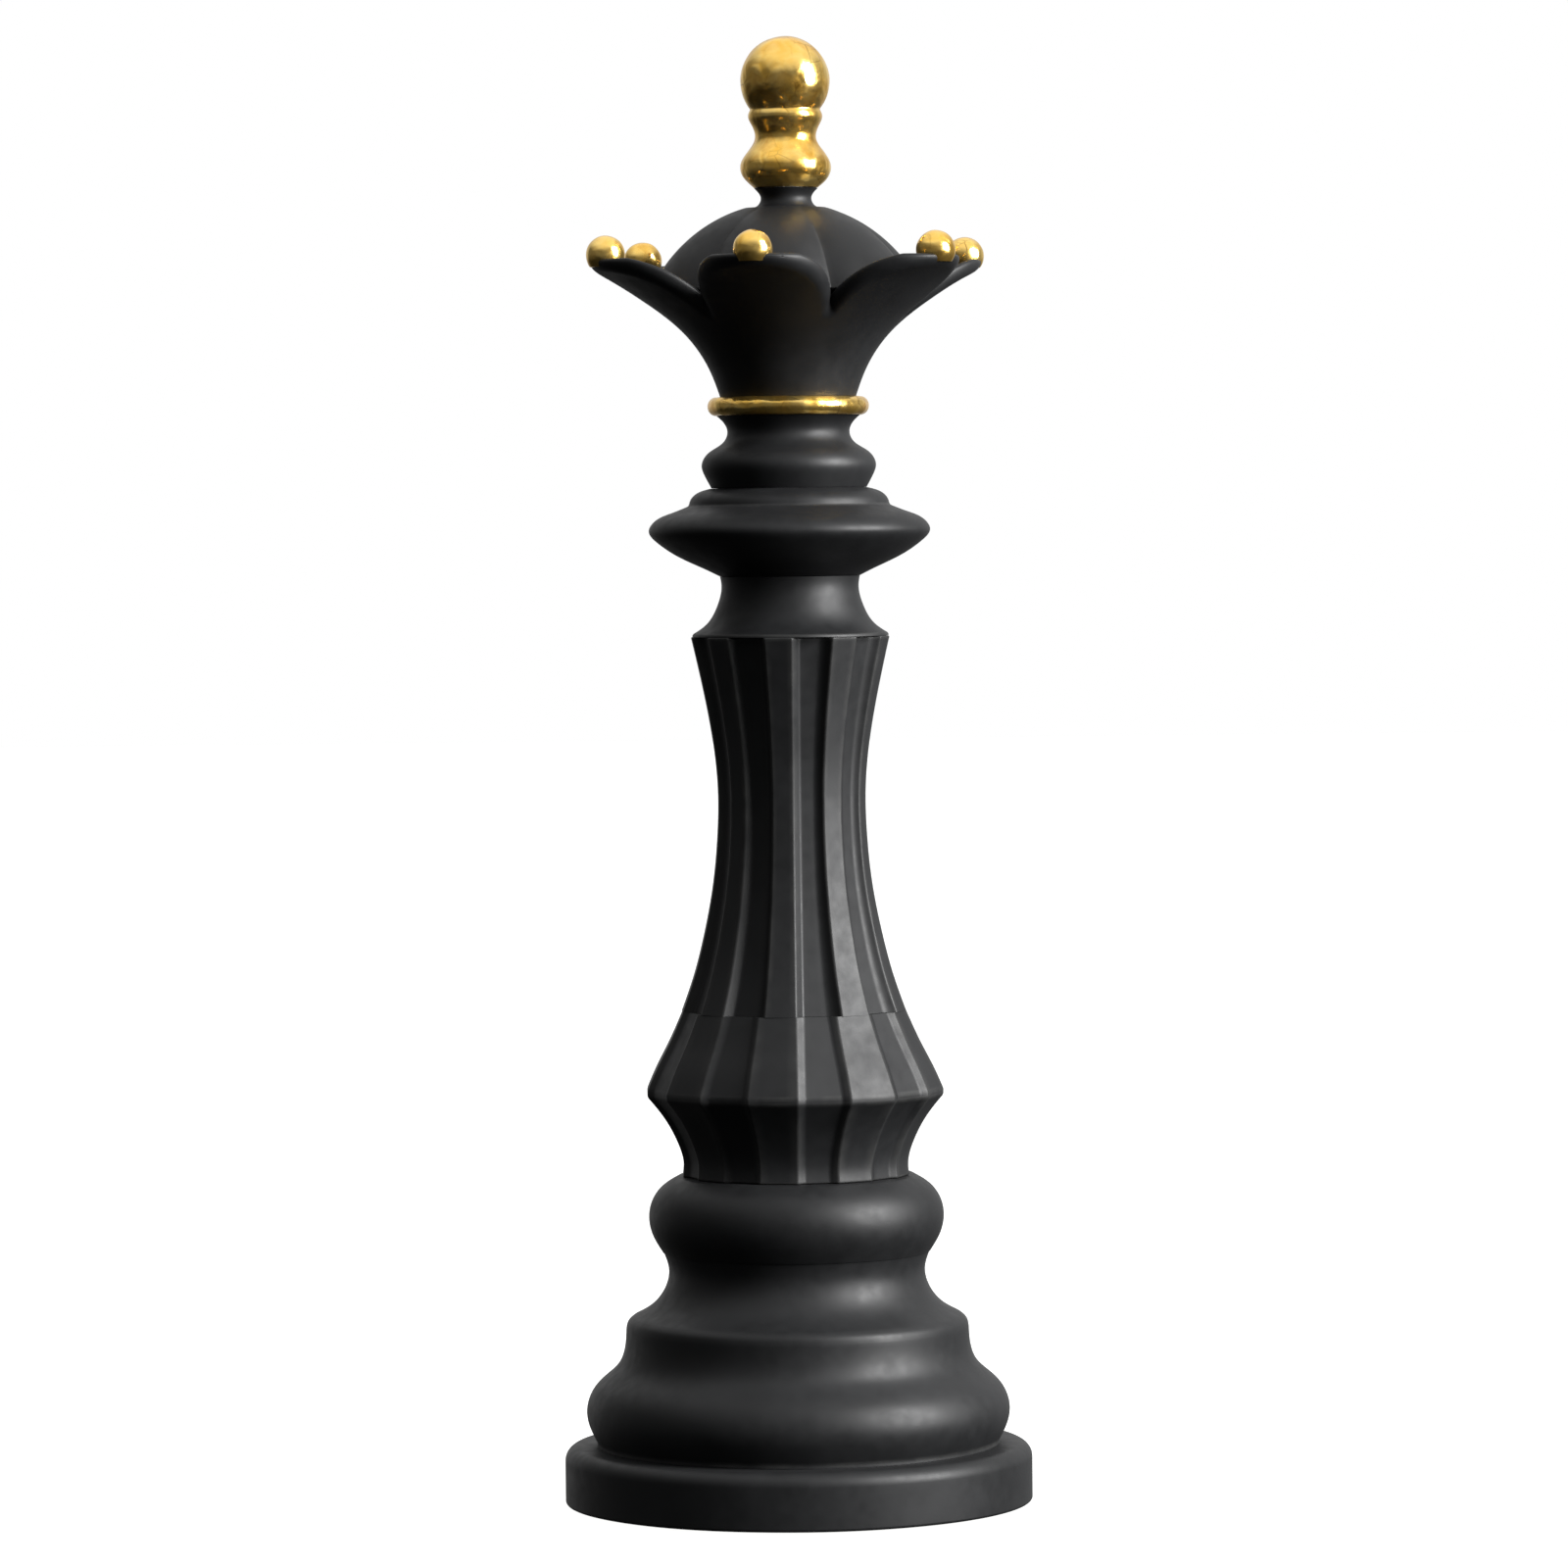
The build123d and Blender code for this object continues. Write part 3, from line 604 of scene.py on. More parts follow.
def bell_points(sizes):
    """Bell: listel, bulge, cove, rounded step and scotia, hollow inside."""
    z, top = level("base_bell"), level("base_torus")
    foot, bulge, step = mm(sizes.bell_foot), mm(sizes.bell_bulge), mm(sizes.bell_step)
    scotia, rim = mm(sizes.bell_scotia), mm(sizes.bell_top)
    inner_foot, inner_step, inner_scotia = foot - BELL_WALL, step - BELL_WALL, scotia - BELL_WALL
    web = top - SECTION_WEB
    return outline(
        [(inner_foot, z), (foot, z)],
        smooth_line([
            (foot, z + 0.9), (bulge - 0.7, z + 4.8), (bulge, z + 8.4), (bulge - 2.1, z + 14.5),
            (step + 5.0, z + 17.4), (step + 2.0, z + 20.3), (step + 0.35, z + 24.7),
            (step, z + 29.0),
        ]),
        smooth_line([(step, z + 29.0), (step - 0.5, z + 30.9), (step - 1.9, z + 32.2)], 0.4),
        smooth_line([
            (step - 1.9, z + 32.2), (scotia + 4.35, z + 34.9), (scotia + 1.3, z + 38.6),
            (scotia, z + 43.7), (rim, top),
        ]),
        [(ROD_HOLE, top), (ROD_HOLE, web), (inner_scotia, web), (inner_scotia, z + 36.5)],
        [(inner_step, z + 28.0), (inner_step, z + 20.0), (inner_foot, z + 12.5)],
    )


def hollow_run(top, foot, socket):
    """Inside of a hollow section, from its top edge down to its foot."""
    web = top - SECTION_WEB
    return [(ROD_HOLE, top), (ROD_HOLE, web), (socket, web), (socket, foot)]


def torus_points(sizes):
    """Round torus moulding on the bell."""
    z, top = level("base_torus"), level("shaft_skirt")
    belly, rim = mm(sizes.torus), mm(sizes.torus_top)
    return outline(
        smooth_line([
            (belly - 3.4, z), (belly - 0.9, z + 4.4), (belly, z + 8.8), (belly - 0.9, z + 13.1),
            (belly - 3.0, z + 16.1), (rim, top),
        ]),
        hollow_run(top, z, TORUS_SOCKET),
    )


def neck_points(sizes):
    """Hollow-curved neck on the column."""
    z, top = level("neck"), level("collar_disc")
    rim, slim = mm(sizes.neck_rim), mm(sizes.neck_slim)
    return outline(
        [(rim, z)],
        smooth_line([
            (rim, z + 0.6), (slim + 3.6, z + 3.3), (slim + 1.1, z + 7.6), (slim, z + 12.9),
            (slim + 0.3, top),
        ], 0.6),
        hollow_run(top, z, COLLAR_SOCKET),
    )


def disc_points(sizes):
    """Collar disc with a rounded edge, and the ovolo on it."""
    z, top = level("collar_disc"), level("collar_bead")
    edge, ovolo, slim = mm(sizes.disc), mm(sizes.ovolo), mm(sizes.neck_slim)
    return outline(
        smooth_line([
            (slim + 0.3, z), (slim + 3.3, z + 1.5), (edge - 8.6, z + 4.3), (edge - 2.1, z + 8.5),
            (edge, z + 11.5), (edge - 1.0, z + 13.4), (edge - 6.0, z + 16.0), (ovolo, z + 17.6),
        ], 0.6),
        smooth_line([
            (ovolo, z + 17.6), (ovolo - 0.5, z + 19.2), (ovolo - 2.0, z + 20.7),
            (ovolo - 5.5, top),
        ], 0.5),
        hollow_run(top, z, COLLAR_SOCKET),
    )


def collar_bead_points(sizes):
    """Bead on the disc, and the narrow part above it."""
    z, top = level("collar_bead"), level("gold_ring")
    belly, slim = mm(sizes.bead), mm(sizes.bead_slim)
    return outline(
        smooth_line([
            (belly - 2.4, z), (belly - 0.8, z + 3.0), (belly, z + 5.6), (belly - 1.7, z + 8.8),
            (slim + 0.8, z + 11.7), (slim, z + 14.0), (slim + 0.8, z + 16.1), (slim + 2.6, top),
        ], 0.6),
        hollow_run(top, z, COLLAR_SOCKET),
    )


def ring_points(sizes):
    """Half-round gold ring."""
    z, top = level("gold_ring"), level("crown")
    edge = mm(sizes.ring_edge)
    bulge = mm(sizes.ring) - edge
    half = (top - z) / 2
    turns = np.linspace(-math.pi / 2, math.pi / 2, 17)
    side = [(edge + bulge * math.cos(t), z + half + half * math.sin(t)) for t in turns]
    return outline(side, [(COLLAR_SOCKET, top), (COLLAR_SOCKET, z)])


def turned_piece(name, points, grain, seed, beyond, slot="black_resin", depth=0.06):
    """A spun section with softened arrises and a hand-finished surface."""
    bm = turned(points)
    heights = [height for _, height in points]
    soften(bm, 0.4, beyond, joints=(min(heights), max(heights)))
    hand_finish(bm, depth, grain, seed)
    as_piece(bm, name + "_skin", slot, (name,))


class QUEEN_OT_base(bpy.types.Operator):
    """Makes the plinth, bell, torus and felt"""

    bl_idname = "queen.base"
    bl_label = "Base"

    def execute(self, context):
        sizes = context.scene.queen_base
        turned_piece("plinth", plinth_points(sizes), 22.0, 1, beyond=mm(sizes.pocket_radius) + 0.5)
        turned_piece("base_bell", bell_points(sizes), 20.0, 2, beyond=30.0)
        turned_piece("base_torus", torus_points(sizes), 18.0, 3, beyond=TORUS_SOCKET + 2.0)
        make_felt()
        return {"FINISHED"}


def make_felt():
    """Felt pad with soft rolled edges and a matted underside."""
    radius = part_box("base_felt")[1][0] / MM - 0.1
    top = level("base_felt", top=True)
    half = top / 2
    points = outline(
        smooth_line([(0.0, 0.0), (radius - half, 0.0)], 1.5),
        arc_line(radius - half, half, half, -90, 90, 8),
        smooth_line([(radius - half, top), (0.0, top)], 6.0),
    )
    bm = turned(points, 144)
    hand_finish(bm, 0.12, 2.0, 4)
    as_piece(bm, "base_felt_pad", "black_felt", ("base_felt",))


# ---- Shaft ---------------------------------------------------

def plan_point(radius, angle):
    """Point in plan, in millimetres, at an angle from the front."""
    return Vector((radius * math.sin(angle), -radius * math.cos(angle)))


def eased(before, corner, after, reach=0.5, steps=4):
    """Rounded corner between two straight runs, from a reach before it to a reach after it."""
    start = corner + (before - corner).normalized() * reach
    end = corner + (after - corner).normalized() * reach
    shares = [i / steps for i in range(steps + 1)]
    return [start.lerp(corner, share).lerp(corner.lerp(end, share), share) for share in shares]


def between(start, end):
    """Three evenly spaced points between two others."""
    return [start.lerp(end, share) for share in (0.25, 0.5, 0.75)]


def panel_section(radius, sizes):
    """Plan points across one sector of the waist or skirt: wall, sunk panel, wall and land."""
    sunk = radius - mm(sizes.panel_depth)
    wall = mm(sizes.wall_run) / radius
    start = plan_point(radius, 0.0)
    foot = plan_point(sunk, wall)
    far_foot = plan_point(sunk, sizes.panel_angle - wall)
    end = plan_point(radius, sizes.panel_angle)
    land = plan_point(radius, math.tau / sizes.facets)
    near = eased(start, foot, far_foot)
    far = eased(foot, far_foot, end)
    return [start, *near, *between(near[-1], far[0]), *far, end, *between(end, land), land]


def flute_section(radius, sizes):
    """Plan points across one sector of the column: steep wall, flat floor, hollow wall and land."""
    depth = sizes.flute_depth * radius
    floor = radius - depth
    start = plan_point(radius, 0.0)
    foot = plan_point(floor, mm(sizes.wall_run) / radius)
    hollow_foot = plan_point(floor, sizes.flute_angle - sizes.hollow_angle)
    land = plan_point(radius, math.tau / sizes.facets)
    near = eased(start, foot, hollow_foot)
    hollow = []
    for share in (0.15, 0.3, 0.45, 0.6, 0.73, 0.87, 1.0):
        angle = sizes.flute_angle - sizes.hollow_angle * (1 - share)
        hollow.append(plan_point(floor + depth * share**2.5, angle))
    floor_run = [*near, *between(near[-1], hollow_foot), hollow_foot]
    return [start, *floor_run, *hollow, *between(hollow[-1], land), land]


def shaft_sheet(bm, line, rows, section, sizes):
    """One sector of the shaft: a section whose radius follows a (radius, height) line."""
    radii, heights = zip(*line)
    columns = len(section(radii[0], sizes)) - 1
    turn = Matrix.Rotation(sizes.first_land, 4, "Z")

    def put(across, up):
        height = heights[0] + (heights[-1] - heights[0]) * up
        point = section(float(np.interp(height, heights, radii)), sizes)[round(across * columns)]
        return turn @ Vector((point.x * MM, point.y * MM, height * MM))

    curled_sheet(bm, columns, rows, put)


def skirt_line(sizes):
    """(radius, height) line of the waist and skirt, from the torus to the seam."""
    z, top = level("shaft_skirt"), level("shaft_column")
    waist, edge, base = mm(sizes.waist), mm(sizes.skirt_edge), mm(sizes.column_base)
    waist_top = z + 20.2
    low = smooth_line([
        (waist + 0.25, z), (waist, z + 3.0), (waist + 1.6, z + 9.0), (waist + 4.6, z + 14.6),
        (edge, waist_top),
    ], 0.4)
    high = smooth_line([
        (edge, waist_top + 1.5), (base + 6.85, waist_top + 6.7), (base + 3.75, waist_top + 12.7),
        (base, top),
    ], 0.4)
    return low, high


def column_line(sizes):
    """(radius, height) line of the fluted column, from the seam to the neck."""
    z, top = level("shaft_column"), level("neck")
    base, slim, head = mm(sizes.column_base), mm(sizes.column_slim), mm(sizes.column_top)
    flare, spread_out = base - slim, head - slim
    waist = z + 0.585 * (top - z)
    lower, upper = waist - z, top - waist
    return smooth_line([
        (base, z), (slim + 0.665 * flare, waist - 0.83 * lower),
        (slim + 0.40 * flare, waist - 0.65 * lower), (slim + 0.16 * flare, waist - 0.43 * lower),
        (slim + 0.03 * flare, waist - 0.21 * lower), (slim, waist),
        (slim + 0.18 * spread_out, waist + 0.33 * upper),
        (slim + 0.54 * spread_out, waist + 0.66 * upper), (head, top),
    ], 0.4)


def make_skirt(sizes):
    """Waist, skirt edge and skirt, with sunk panels."""
    low, high = skirt_line(sizes)
    bm = bmesh.new()
    shaft_sheet(bm, low, 26, panel_section, sizes)
    shaft_sheet(bm, [low[-1], high[0]], 2, panel_section, sizes)
    shaft_sheet(bm, high, 24, panel_section, sizes)
    bmesh.ops.remove_doubles(bm, verts=bm.verts, dist=1e-6)
    copies_round(bm, sizes.facets)
    foot, top = low[0][1], high[-1][1]
    close_with_core(bm, hollow_run(top, foot, SKIRT_SOCKET)[::-1])
    soften(bm, mm(sizes.arris), SKIRT_SOCKET + 1.0, angle=22.0, joints=(top,))
    hand_finish(bm, 0.05, 16.0, 5)
    as_piece(bm, "shaft_skirt_skin", "black_resin", ("shaft_skirt",))


def make_column(sizes):
    """Tall column whose flutes have one steep and one hollow wall."""
    line = column_line(sizes)
    bm = bmesh.new()
    shaft_sheet(bm, line, 90, flute_section, sizes)
    copies_round(bm, sizes.facets)
    foot, top = line[0][1], line[-1][1]
    close_with_core(bm, hollow_run(top, foot, COLUMN_SOCKET)[::-1])
    soften(bm, mm(sizes.arris), COLUMN_SOCKET + 1.0, angle=22.0, joints=(foot,))
    hand_finish(bm, 0.05, 16.0, 6)
    as_piece(bm, "shaft_column_skin", "black_resin", ("shaft_column",))


class QUEEN_OT_shaft(bpy.types.Operator):
    """Makes the panelled skirt and the fluted column"""

    bl_idname = "queen.shaft"
    bl_label = "Shaft"

    def execute(self, context):
        sizes = context.scene.queen_shaft
        make_skirt(sizes)
        make_column(sizes)
        return {"FINISHED"}


class QUEEN_OT_collar(bpy.types.Operator):
    """Makes the neck, collar disc, collar bead and gold ring"""

    bl_idname = "queen.collar"
    bl_label = "Neck and collar"

    def execute(self, context):
        sizes = context.scene.queen_collar
        beyond = COLLAR_SOCKET + 2.0
        turned_piece("neck", neck_points(sizes), 15.0, 7, beyond)
        turned_piece("collar_disc", disc_points(sizes), 15.0, 8, beyond)
        turned_piece("collar_bead", collar_bead_points(sizes), 12.0, 9, beyond)
        turned_piece("gold_ring", ring_points(sizes), 4.0, 10, beyond, slot="gold_leaf", depth=0.12)
        return {"FINISHED"}


# ---- Crown, dome and beads -----------------------------------

LOWER_SHARE = 0.45         # share of a petal sheet's rows that lie below the valleys
TIP_TURN = math.radians(80)  # how far round its ellipse a petal's side runs before its tip
DOME_SKIRT = 14.1          # dome's lower rim above its centre
DOME_CREASE = 0.90         # radius in a crease as a share of the lobe's
DOME_WALL = 3.4
DOME_CREST = 10.5          # radius where the dome turns up into its stem
DOME_FADE = (6.5, 13.5)    # radii between which the round stem turns into lobes
DOME_TUBE = 11.5           # tube under the dome, which stands on the crown's floor
DOME_BORE = 8.5            # inside of that tube
STEM_HEIGHT = 5.6
STEM_WEB = 4.0             # solid top of the dome, under the stem


def petals_round(bm, sizes):
    """Turns one sector to the first petal, and repeats it for the others."""
    bmesh.ops.rotate(bm, verts=bm.verts, cent=(0, 0, 0), matrix=Matrix.Rotation(sizes.first_petal, 3, "Z"))
    copies_round(bm, sizes.petals)


def crown_line(sizes):
    """Outer line of the crown, from its foot to a petal's tip."""
    z = level("crown")
    foot, reach = mm(sizes.foot), mm(sizes.reach)
    return smooth_line([
        (foot, z), (foot + 2.5, z + 6.6), (foot + 8.4, z + 15.4), (reach - 14.6, z + 24.2),
        (reach - 4.9, z + 29.8), (reach, z + 31.5),
    ], 0.25)


def inner_line(sizes, offset):
    """Line parallel to the crown's outer line, an offset inside it."""
    line = crown_line(sizes)
    return [(r - offset * dz, z + offset * dr) for (r, z), (dr, dz) in zip(line, slopes(line))]


def petal_start(sizes):
    """Angle on a petal's ellipse where neighbouring petals meet."""
    tilt = math.tan(math.pi / sizes.petals)
    along = tilt * sizes.half_length
    offset = tilt * (sizes.reach - sizes.half_length)
    size = math.hypot(sizes.half_width, along)
    return math.acos(offset / size) - math.atan2(along, sizes.half_width)


def petal_plan(side, share, sizes):
    """Plan point (sideways, outwards) on a petal: side from -1 to 1, share from its valleys to its tip."""
    middle = mm(sizes.reach - sizes.half_length)
    half_length, half_width = mm(sizes.half_length), mm(sizes.half_width)
    start = petal_start(sizes)
    valley_out = middle + half_length * math.sin(start)
    valley = math.hypot(valley_out, half_width * math.cos(start))
    turn = start + (TIP_TURN - start) * share
    bulge = (valley - valley_out) * (1 - share) ** 2 + half_length * (1 - math.sin(TIP_TURN)) * share
    outwards = middle + half_length * math.sin(turn) + bulge * (1 - side**2)
    return np.array((half_width * math.cos(turn) * side, outwards))


def petal_edge(sizes):
    """Plan of one petal's rim, from one valley round its tip to the other."""
    start = petal_start(sizes)
    turns = np.linspace(start, math.pi - start, 361)
    outwards = mm(sizes.reach - sizes.half_length) + mm(sizes.half_length) * np.sin(turns)
    return np.column_stack((mm(sizes.half_width) * np.cos(turns), outwards))


def distance_to(edge, point):
    """Distance in plan from a point to a line of points."""
    starts = edge[:-1]
    spans = np.diff(edge, axis=0)
    share = ((point - starts) * spans).sum(axis=1) / (spans**2).sum(axis=1)
    nearest = starts + spans * np.clip(share, 0.0, 1.0)[:, None]
    return float(np.linalg.norm(point - nearest, axis=1).min())


def crown_sheet(bm, sizes, own, other, rounding, part):
    """One sector of the crown's underside or top, eased at the rim by a part of the way to the other."""
    edge = petal_edge(sizes)
    valley = float(np.hypot(*edge[0]))
    radii, heights = own
    last = int(np.searchsorted(radii, valley))
    lower = np.append(radii[:last], valley)

    def put(across, up):
        side = math.sin(math.pi * (across - 0.5))
        if up <= LOWER_SHARE:
            place = last * math.sin(math.pi / 2 * up / LOWER_SHARE)
            radius = float(np.interp(place, range(last + 1), lower))
            turn = side * math.pi / sizes.petals
            plan = np.array((radius * math.sin(turn), radius * math.cos(turn)))
        else:
            plan = petal_plan(side, (up - LOWER_SHARE) / (1 - LOWER_SHARE), sizes)
        radius = float(np.hypot(*plan))
        height = float(np.interp(radius, radii, heights))
        inset = min(1.0, max(0.0, distance_to(edge, plan) - 0.01) / rounding)
        gap = float(np.interp(radius, *other)) - height
        height += part * gap * (1 - math.sqrt(inset * (2 - inset)))
        return Vector((plan[0] * MM, -plan[1] * MM, height * MM))

    curled_sheet(bm, 40, 80, put)


def make_crown(sizes):
    """Flared bowl whose rim is cut into petals with rounded edges."""
    foot = level("crown")
    top = level("crown", top=True)
    floor = level("crown_washer")
    under = np.array(crown_line(sizes)).T
    inside = np.array(inner_line(sizes, mm(sizes.wall))).T
    start = float(np.interp(floor, inside[1], inside[0]))
    upper = inside[:, inside[1] > floor]
    over = np.column_stack(((start, floor), upper, (mm(sizes.reach) + 1.0, top)))
    over[1] = np.minimum(over[1], top)
    bm = bmesh.new()
    crown_sheet(bm, sizes, under, over, mm(sizes.rim_under), 0.7)
    crown_sheet(bm, sizes, over, under, mm(sizes.rim_over), 0.3)
    petals_round(bm, sizes)
    close_with_core(bm, [(ROD_HOLE, foot), (ROD_HOLE, floor)])
    hand_finish(bm, 0.05, 12.0, 11)
    as_piece(bm, "crown_petals", "black_resin", ("crown",))


def dome_line(sizes):
    """Outer line of the dome's lobes and the stem, from the dome's rim upwards."""
    foot = level("crown")
    top = level("crown_dome", top=True)
    radius, stem, head = mm(sizes.dome), mm(sizes.stem), mm(sizes.stem_top)
    middle = foot + mm(sizes.dome_rise)
    rim = math.degrees(math.asin(DOME_SKIRT / radius))
    crest = math.degrees(math.acos(DOME_CREST / radius))
    lobes = arc_line(0.0, middle, radius, rim, crest, 60)
    stem_foot = top - STEM_HEIGHT
    neck = smooth_line([
        lobes[-1],
        (stem + 0.6, stem_foot + 1.6),
        (stem, stem_foot + 3.0),
        (head, top),
    ], 0.4)
    return lobes + neck[1:]


def dome_core(sizes, top):
    """Inside of the dome: its shell, the tube that stands on the crown's floor, and the rod hole."""
    middle = level("crown") + mm(sizes.dome_rise)
    radius = mm(sizes.dome) * DOME_CREASE - DOME_WALL
    rim = math.degrees(math.asin(DOME_SKIRT / radius))
    high = math.degrees(math.acos(DOME_TUBE / radius))
    floor = level("crown_dome")
    web = top - STEM_HEIGHT - STEM_WEB
    tube = [(DOME_TUBE, floor), (DOME_BORE, floor), (DOME_BORE, web), (ROD_HOLE, web), (ROD_HOLE, top)]
    return arc_line(0.0, middle, radius, rim, high) + tube


def make_dome(sizes):
    """Six-lobed dome with sharp creases that run up to its stem."""
    line = dome_line(sizes)
    radii, heights = zip(*line)
    limits = np.array(inner_line(sizes, mm(sizes.wall) + CLEARANCE)).T
    half = math.pi / sizes.petals
    sagitta = 1.0 - DOME_CREASE * math.cos(half)
    chord = DOME_CREASE * math.sin(half)
    curve = (chord**2 + sagitta**2) / (2 * sagitta)
    swing = math.asin(min(1.0, chord / curve))

    def put(across, up):
        place = up * (len(line) - 1)
        radius = float(np.interp(place, range(len(line)), radii))
        height = float(np.interp(place, range(len(line)), heights))
        turn = swing * (2 * across - 1)
        outwards = 1.0 - curve + curve * math.cos(turn)
        sideways = curve * math.sin(turn)
        fade = float(np.interp(radius, DOME_FADE, (0.0, 1.0)))
        radius *= 1 - fade + fade * math.hypot(outwards, sideways)
        radius = min(radius, float(np.interp(height, limits[1], limits[0])))
        return at_angle(radius, math.atan2(sideways, outwards), height)

    bm = bmesh.new()
    curled_sheet(bm, 24, len(line) - 1, put)
    petals_round(bm, sizes)
    close_with_core(bm, dome_core(sizes, heights[-1]))
    soften(bm, 0.15, DOME_TUBE + 1.0, angle=25.0, joints=(heights[0],))
    hand_finish(bm, 0.05, 14.0, 12)
    as_piece(bm, "crown_dome_lobes", "black_resin", ("crown_dome",))


def slopes(line):
    """Unit direction of a line at each of its points."""
    steps = np.gradient(np.array(line), axis=0)
    return steps / np.linalg.norm(steps, axis=1)[:, None]


def make_beads(sizes):
    """Gold beads, each flat underneath where it is seated on its petal."""
    for number in range(sizes.petals):
        node = f"crown_bead_{number + 1}"
        low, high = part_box(node)
        bm = bmesh.new()
        bmesh.ops.create_uvsphere(bm, u_segments=64, v_segments=40, radius=sizes.bead)
        hand_finish(bm, 0.16, 2.6, 20 + number)
        cut_flat(bm, -sizes.bead_sink, -1)
        centre = ((low[0] + high[0]) / 2, (low[1] + high[1]) / 2, high[2] - sizes.bead)
        bmesh.ops.translate(bm, verts=bm.verts, vec=centre)
        tidy(bm)
        as_piece(bm, node + "_ball", "gold_leaf", (node,))


class QUEEN_OT_crown(bpy.types.Operator):
    """Makes the petalled crown"""

    bl_idname = "queen.crown"
    bl_label = "Crown"

    def execute(self, context):
        make_crown(context.scene.queen_crown)
        return {"FINISHED"}


class QUEEN_OT_dome(bpy.types.Operator):
    """Makes the lobed dome and its stem"""

    bl_idname = "queen.dome"
    bl_label = "Dome"

    def execute(self, context):
        make_dome(context.scene.queen_crown)
        return {"FINISHED"}


class QUEEN_OT_beads(bpy.types.Operator):
    """Makes the gold beads on the petal tips"""

    bl_idname = "queen.beads"
    bl_label = "Beads"

    def execute(self, context):
        make_beads(context.scene.queen_crown)
        return {"FINISHED"}


# ---- Finial and tie rod --------------------------------------

FINIAL_RIM = 8.0           # radius of the finial's lower edge
FINIAL_DIP = 0.22          # hand finishing of the finial, made up for at its lower edge


def finial_points(sizes):
    """Finial: foot bead, waist, small bead and ball, bored for its insert and washer."""
    z = level("finial")
    lip = z - FINIAL_DIP
    neck = z + 19.2
    top = level("finial", top=True)
    foot, slim, bead, ball = mm(sizes.foot), mm(sizes.slim), mm(sizes.bead), mm(sizes.ball)
    middle = top - ball
    start = math.asin((neck - middle) / ball)
    insert_low, insert_high = level("finial_insert"), level("finial_insert", top=True)
    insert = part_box("finial_insert")[1][0] / MM + 0.02
    washer_top = level("finial_washer", top=True) + 0.1
    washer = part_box("finial_washer")[1][0] / MM + CLEARANCE
    return outline(
        smooth_line([
            (FINIAL_RIM, lip), (foot - 0.4, z + 3.0), (foot, z + 5.0), (foot - 1.9, z + 9.0),
            (slim, z + 12.0), (slim + 0.6, z + 14.9), (bead, z + 17.7),
            (ball * math.cos(start), neck),
        ], 0.4),
        arc_line(0.0, middle, ball, math.degrees(start), 90, 56),
        [(0.0, insert_high), (insert, insert_high), (insert, insert_low), (ROD_HOLE, insert_low)],
        [(ROD_HOLE, washer_top), (washer, washer_top), (washer, lip)],
    )


def make_finial(sizes):
    """Gold finial, which turns on the tie rod."""
    bm = turned(finial_points(sizes), 160)
    soften(bm, 0.25, FINIAL_RIM + 0.2, angle=25.0)
    hand_finish(bm, FINIAL_DIP, 5.0, 31)
    as_piece(bm, "finial_ball", "gold_leaf", ("finial",), body="finial")


def make_threaded_rod(sizes):
    """Tie rod with a helical thread along its whole length, cut square at both ends."""
    low, high = level("tie_rod"), level("tie_rod", top=True)
    pitch = mm(sizes.pitch)
    crest, root = 2.97, 2.40
    steps = 20
    bm = bmesh.new()
    tooth = [(root, 0.0), (crest, 0.44), (crest, 0.56), (root, 1.0)]
    geom = line_of(bm, [(radius, low + (share - 2) * pitch) for radius, share in tooth])
    spun(bm, geom, steps, rise=pitch * MM / steps)
    made = 1
    while made * pitch < high - low + 4 * pitch:
        copied = bmesh.ops.duplicate(bm, geom=everything(bm))
        moved = [part for part in copied["geom"] if isinstance(part, bmesh.types.BMVert)]
        bmesh.ops.translate(bm, verts=moved, vec=(0, 0, made * pitch * MM))
        made *= 2
    bmesh.ops.remove_doubles(bm, verts=bm.verts, dist=1e-6)
    cut_flat(bm, low * MM, -1)
    cut_flat(bm, high * MM, 1)
    tidy(bm)
    as_piece(bm, "threaded_tie_rod", "zinc_steel", ("tie_rod",))


class QUEEN_OT_finial(bpy.types.Operator):
    """Makes the gold finial"""

    bl_idname = "queen.finial"
    bl_label = "Finial"

    def execute(self, context):
        make_finial(context.scene.queen_finial)
        return {"FINISHED"}


class QUEEN_OT_rod(bpy.types.Operator):
    """Makes the threaded tie rod"""

    bl_idname = "queen.rod"
    bl_label = "Tie rod"

    def execute(self, context):
        make_threaded_rod(context.scene.queen_finial)
        return {"FINISHED"}


class QUEEN_OT_fittings(bpy.types.Operator):
    """Gives the hidden fittings their finishes"""

    bl_idname = "queen.fittings"
    bl_label = "Fittings"

    def execute(self, context):
        slots = {part["node"]: part["material_slot"] for part in frame["record"]["subparts"]}
        for node, piece in frame["nodes"].items():
            piece.data.materials.clear()
            piece.data.materials.append(finish(slots[node]))
        return {"FINISHED"}


# ---- Stage ---------------------------------------------------

def make_floor(colours):
    """Wide pale floor that glows a little, so that it stays even, and adds no light to the queen."""
    bm = bmesh.new()
    bmesh.ops.create_grid(bm, x_segments=8, y_segments=8, size=6.0)
    floor = added("floor", as_mesh(bm, "floor"))
    floor.visible_diffuse = False
    floor.visible_glossy = False
    tree, shader = new_material("studio_floor", 0.8)
    pale = tuple(colours.floor)
    tones = [tuple(share * part for part in pale) for share in (0.3, 0.291)]
    tree.links.new(blend_colours(tree, patches(tree, 400.0), *tones), shader.inputs["Base Color"])
    shader.inputs["Emission Color"].default_value = (*pale, 1.0)
    shader.inputs["Emission Strength"].default_value = 1.25
    floor.data.materials.append(bpy.data.materials["studio_floor"])


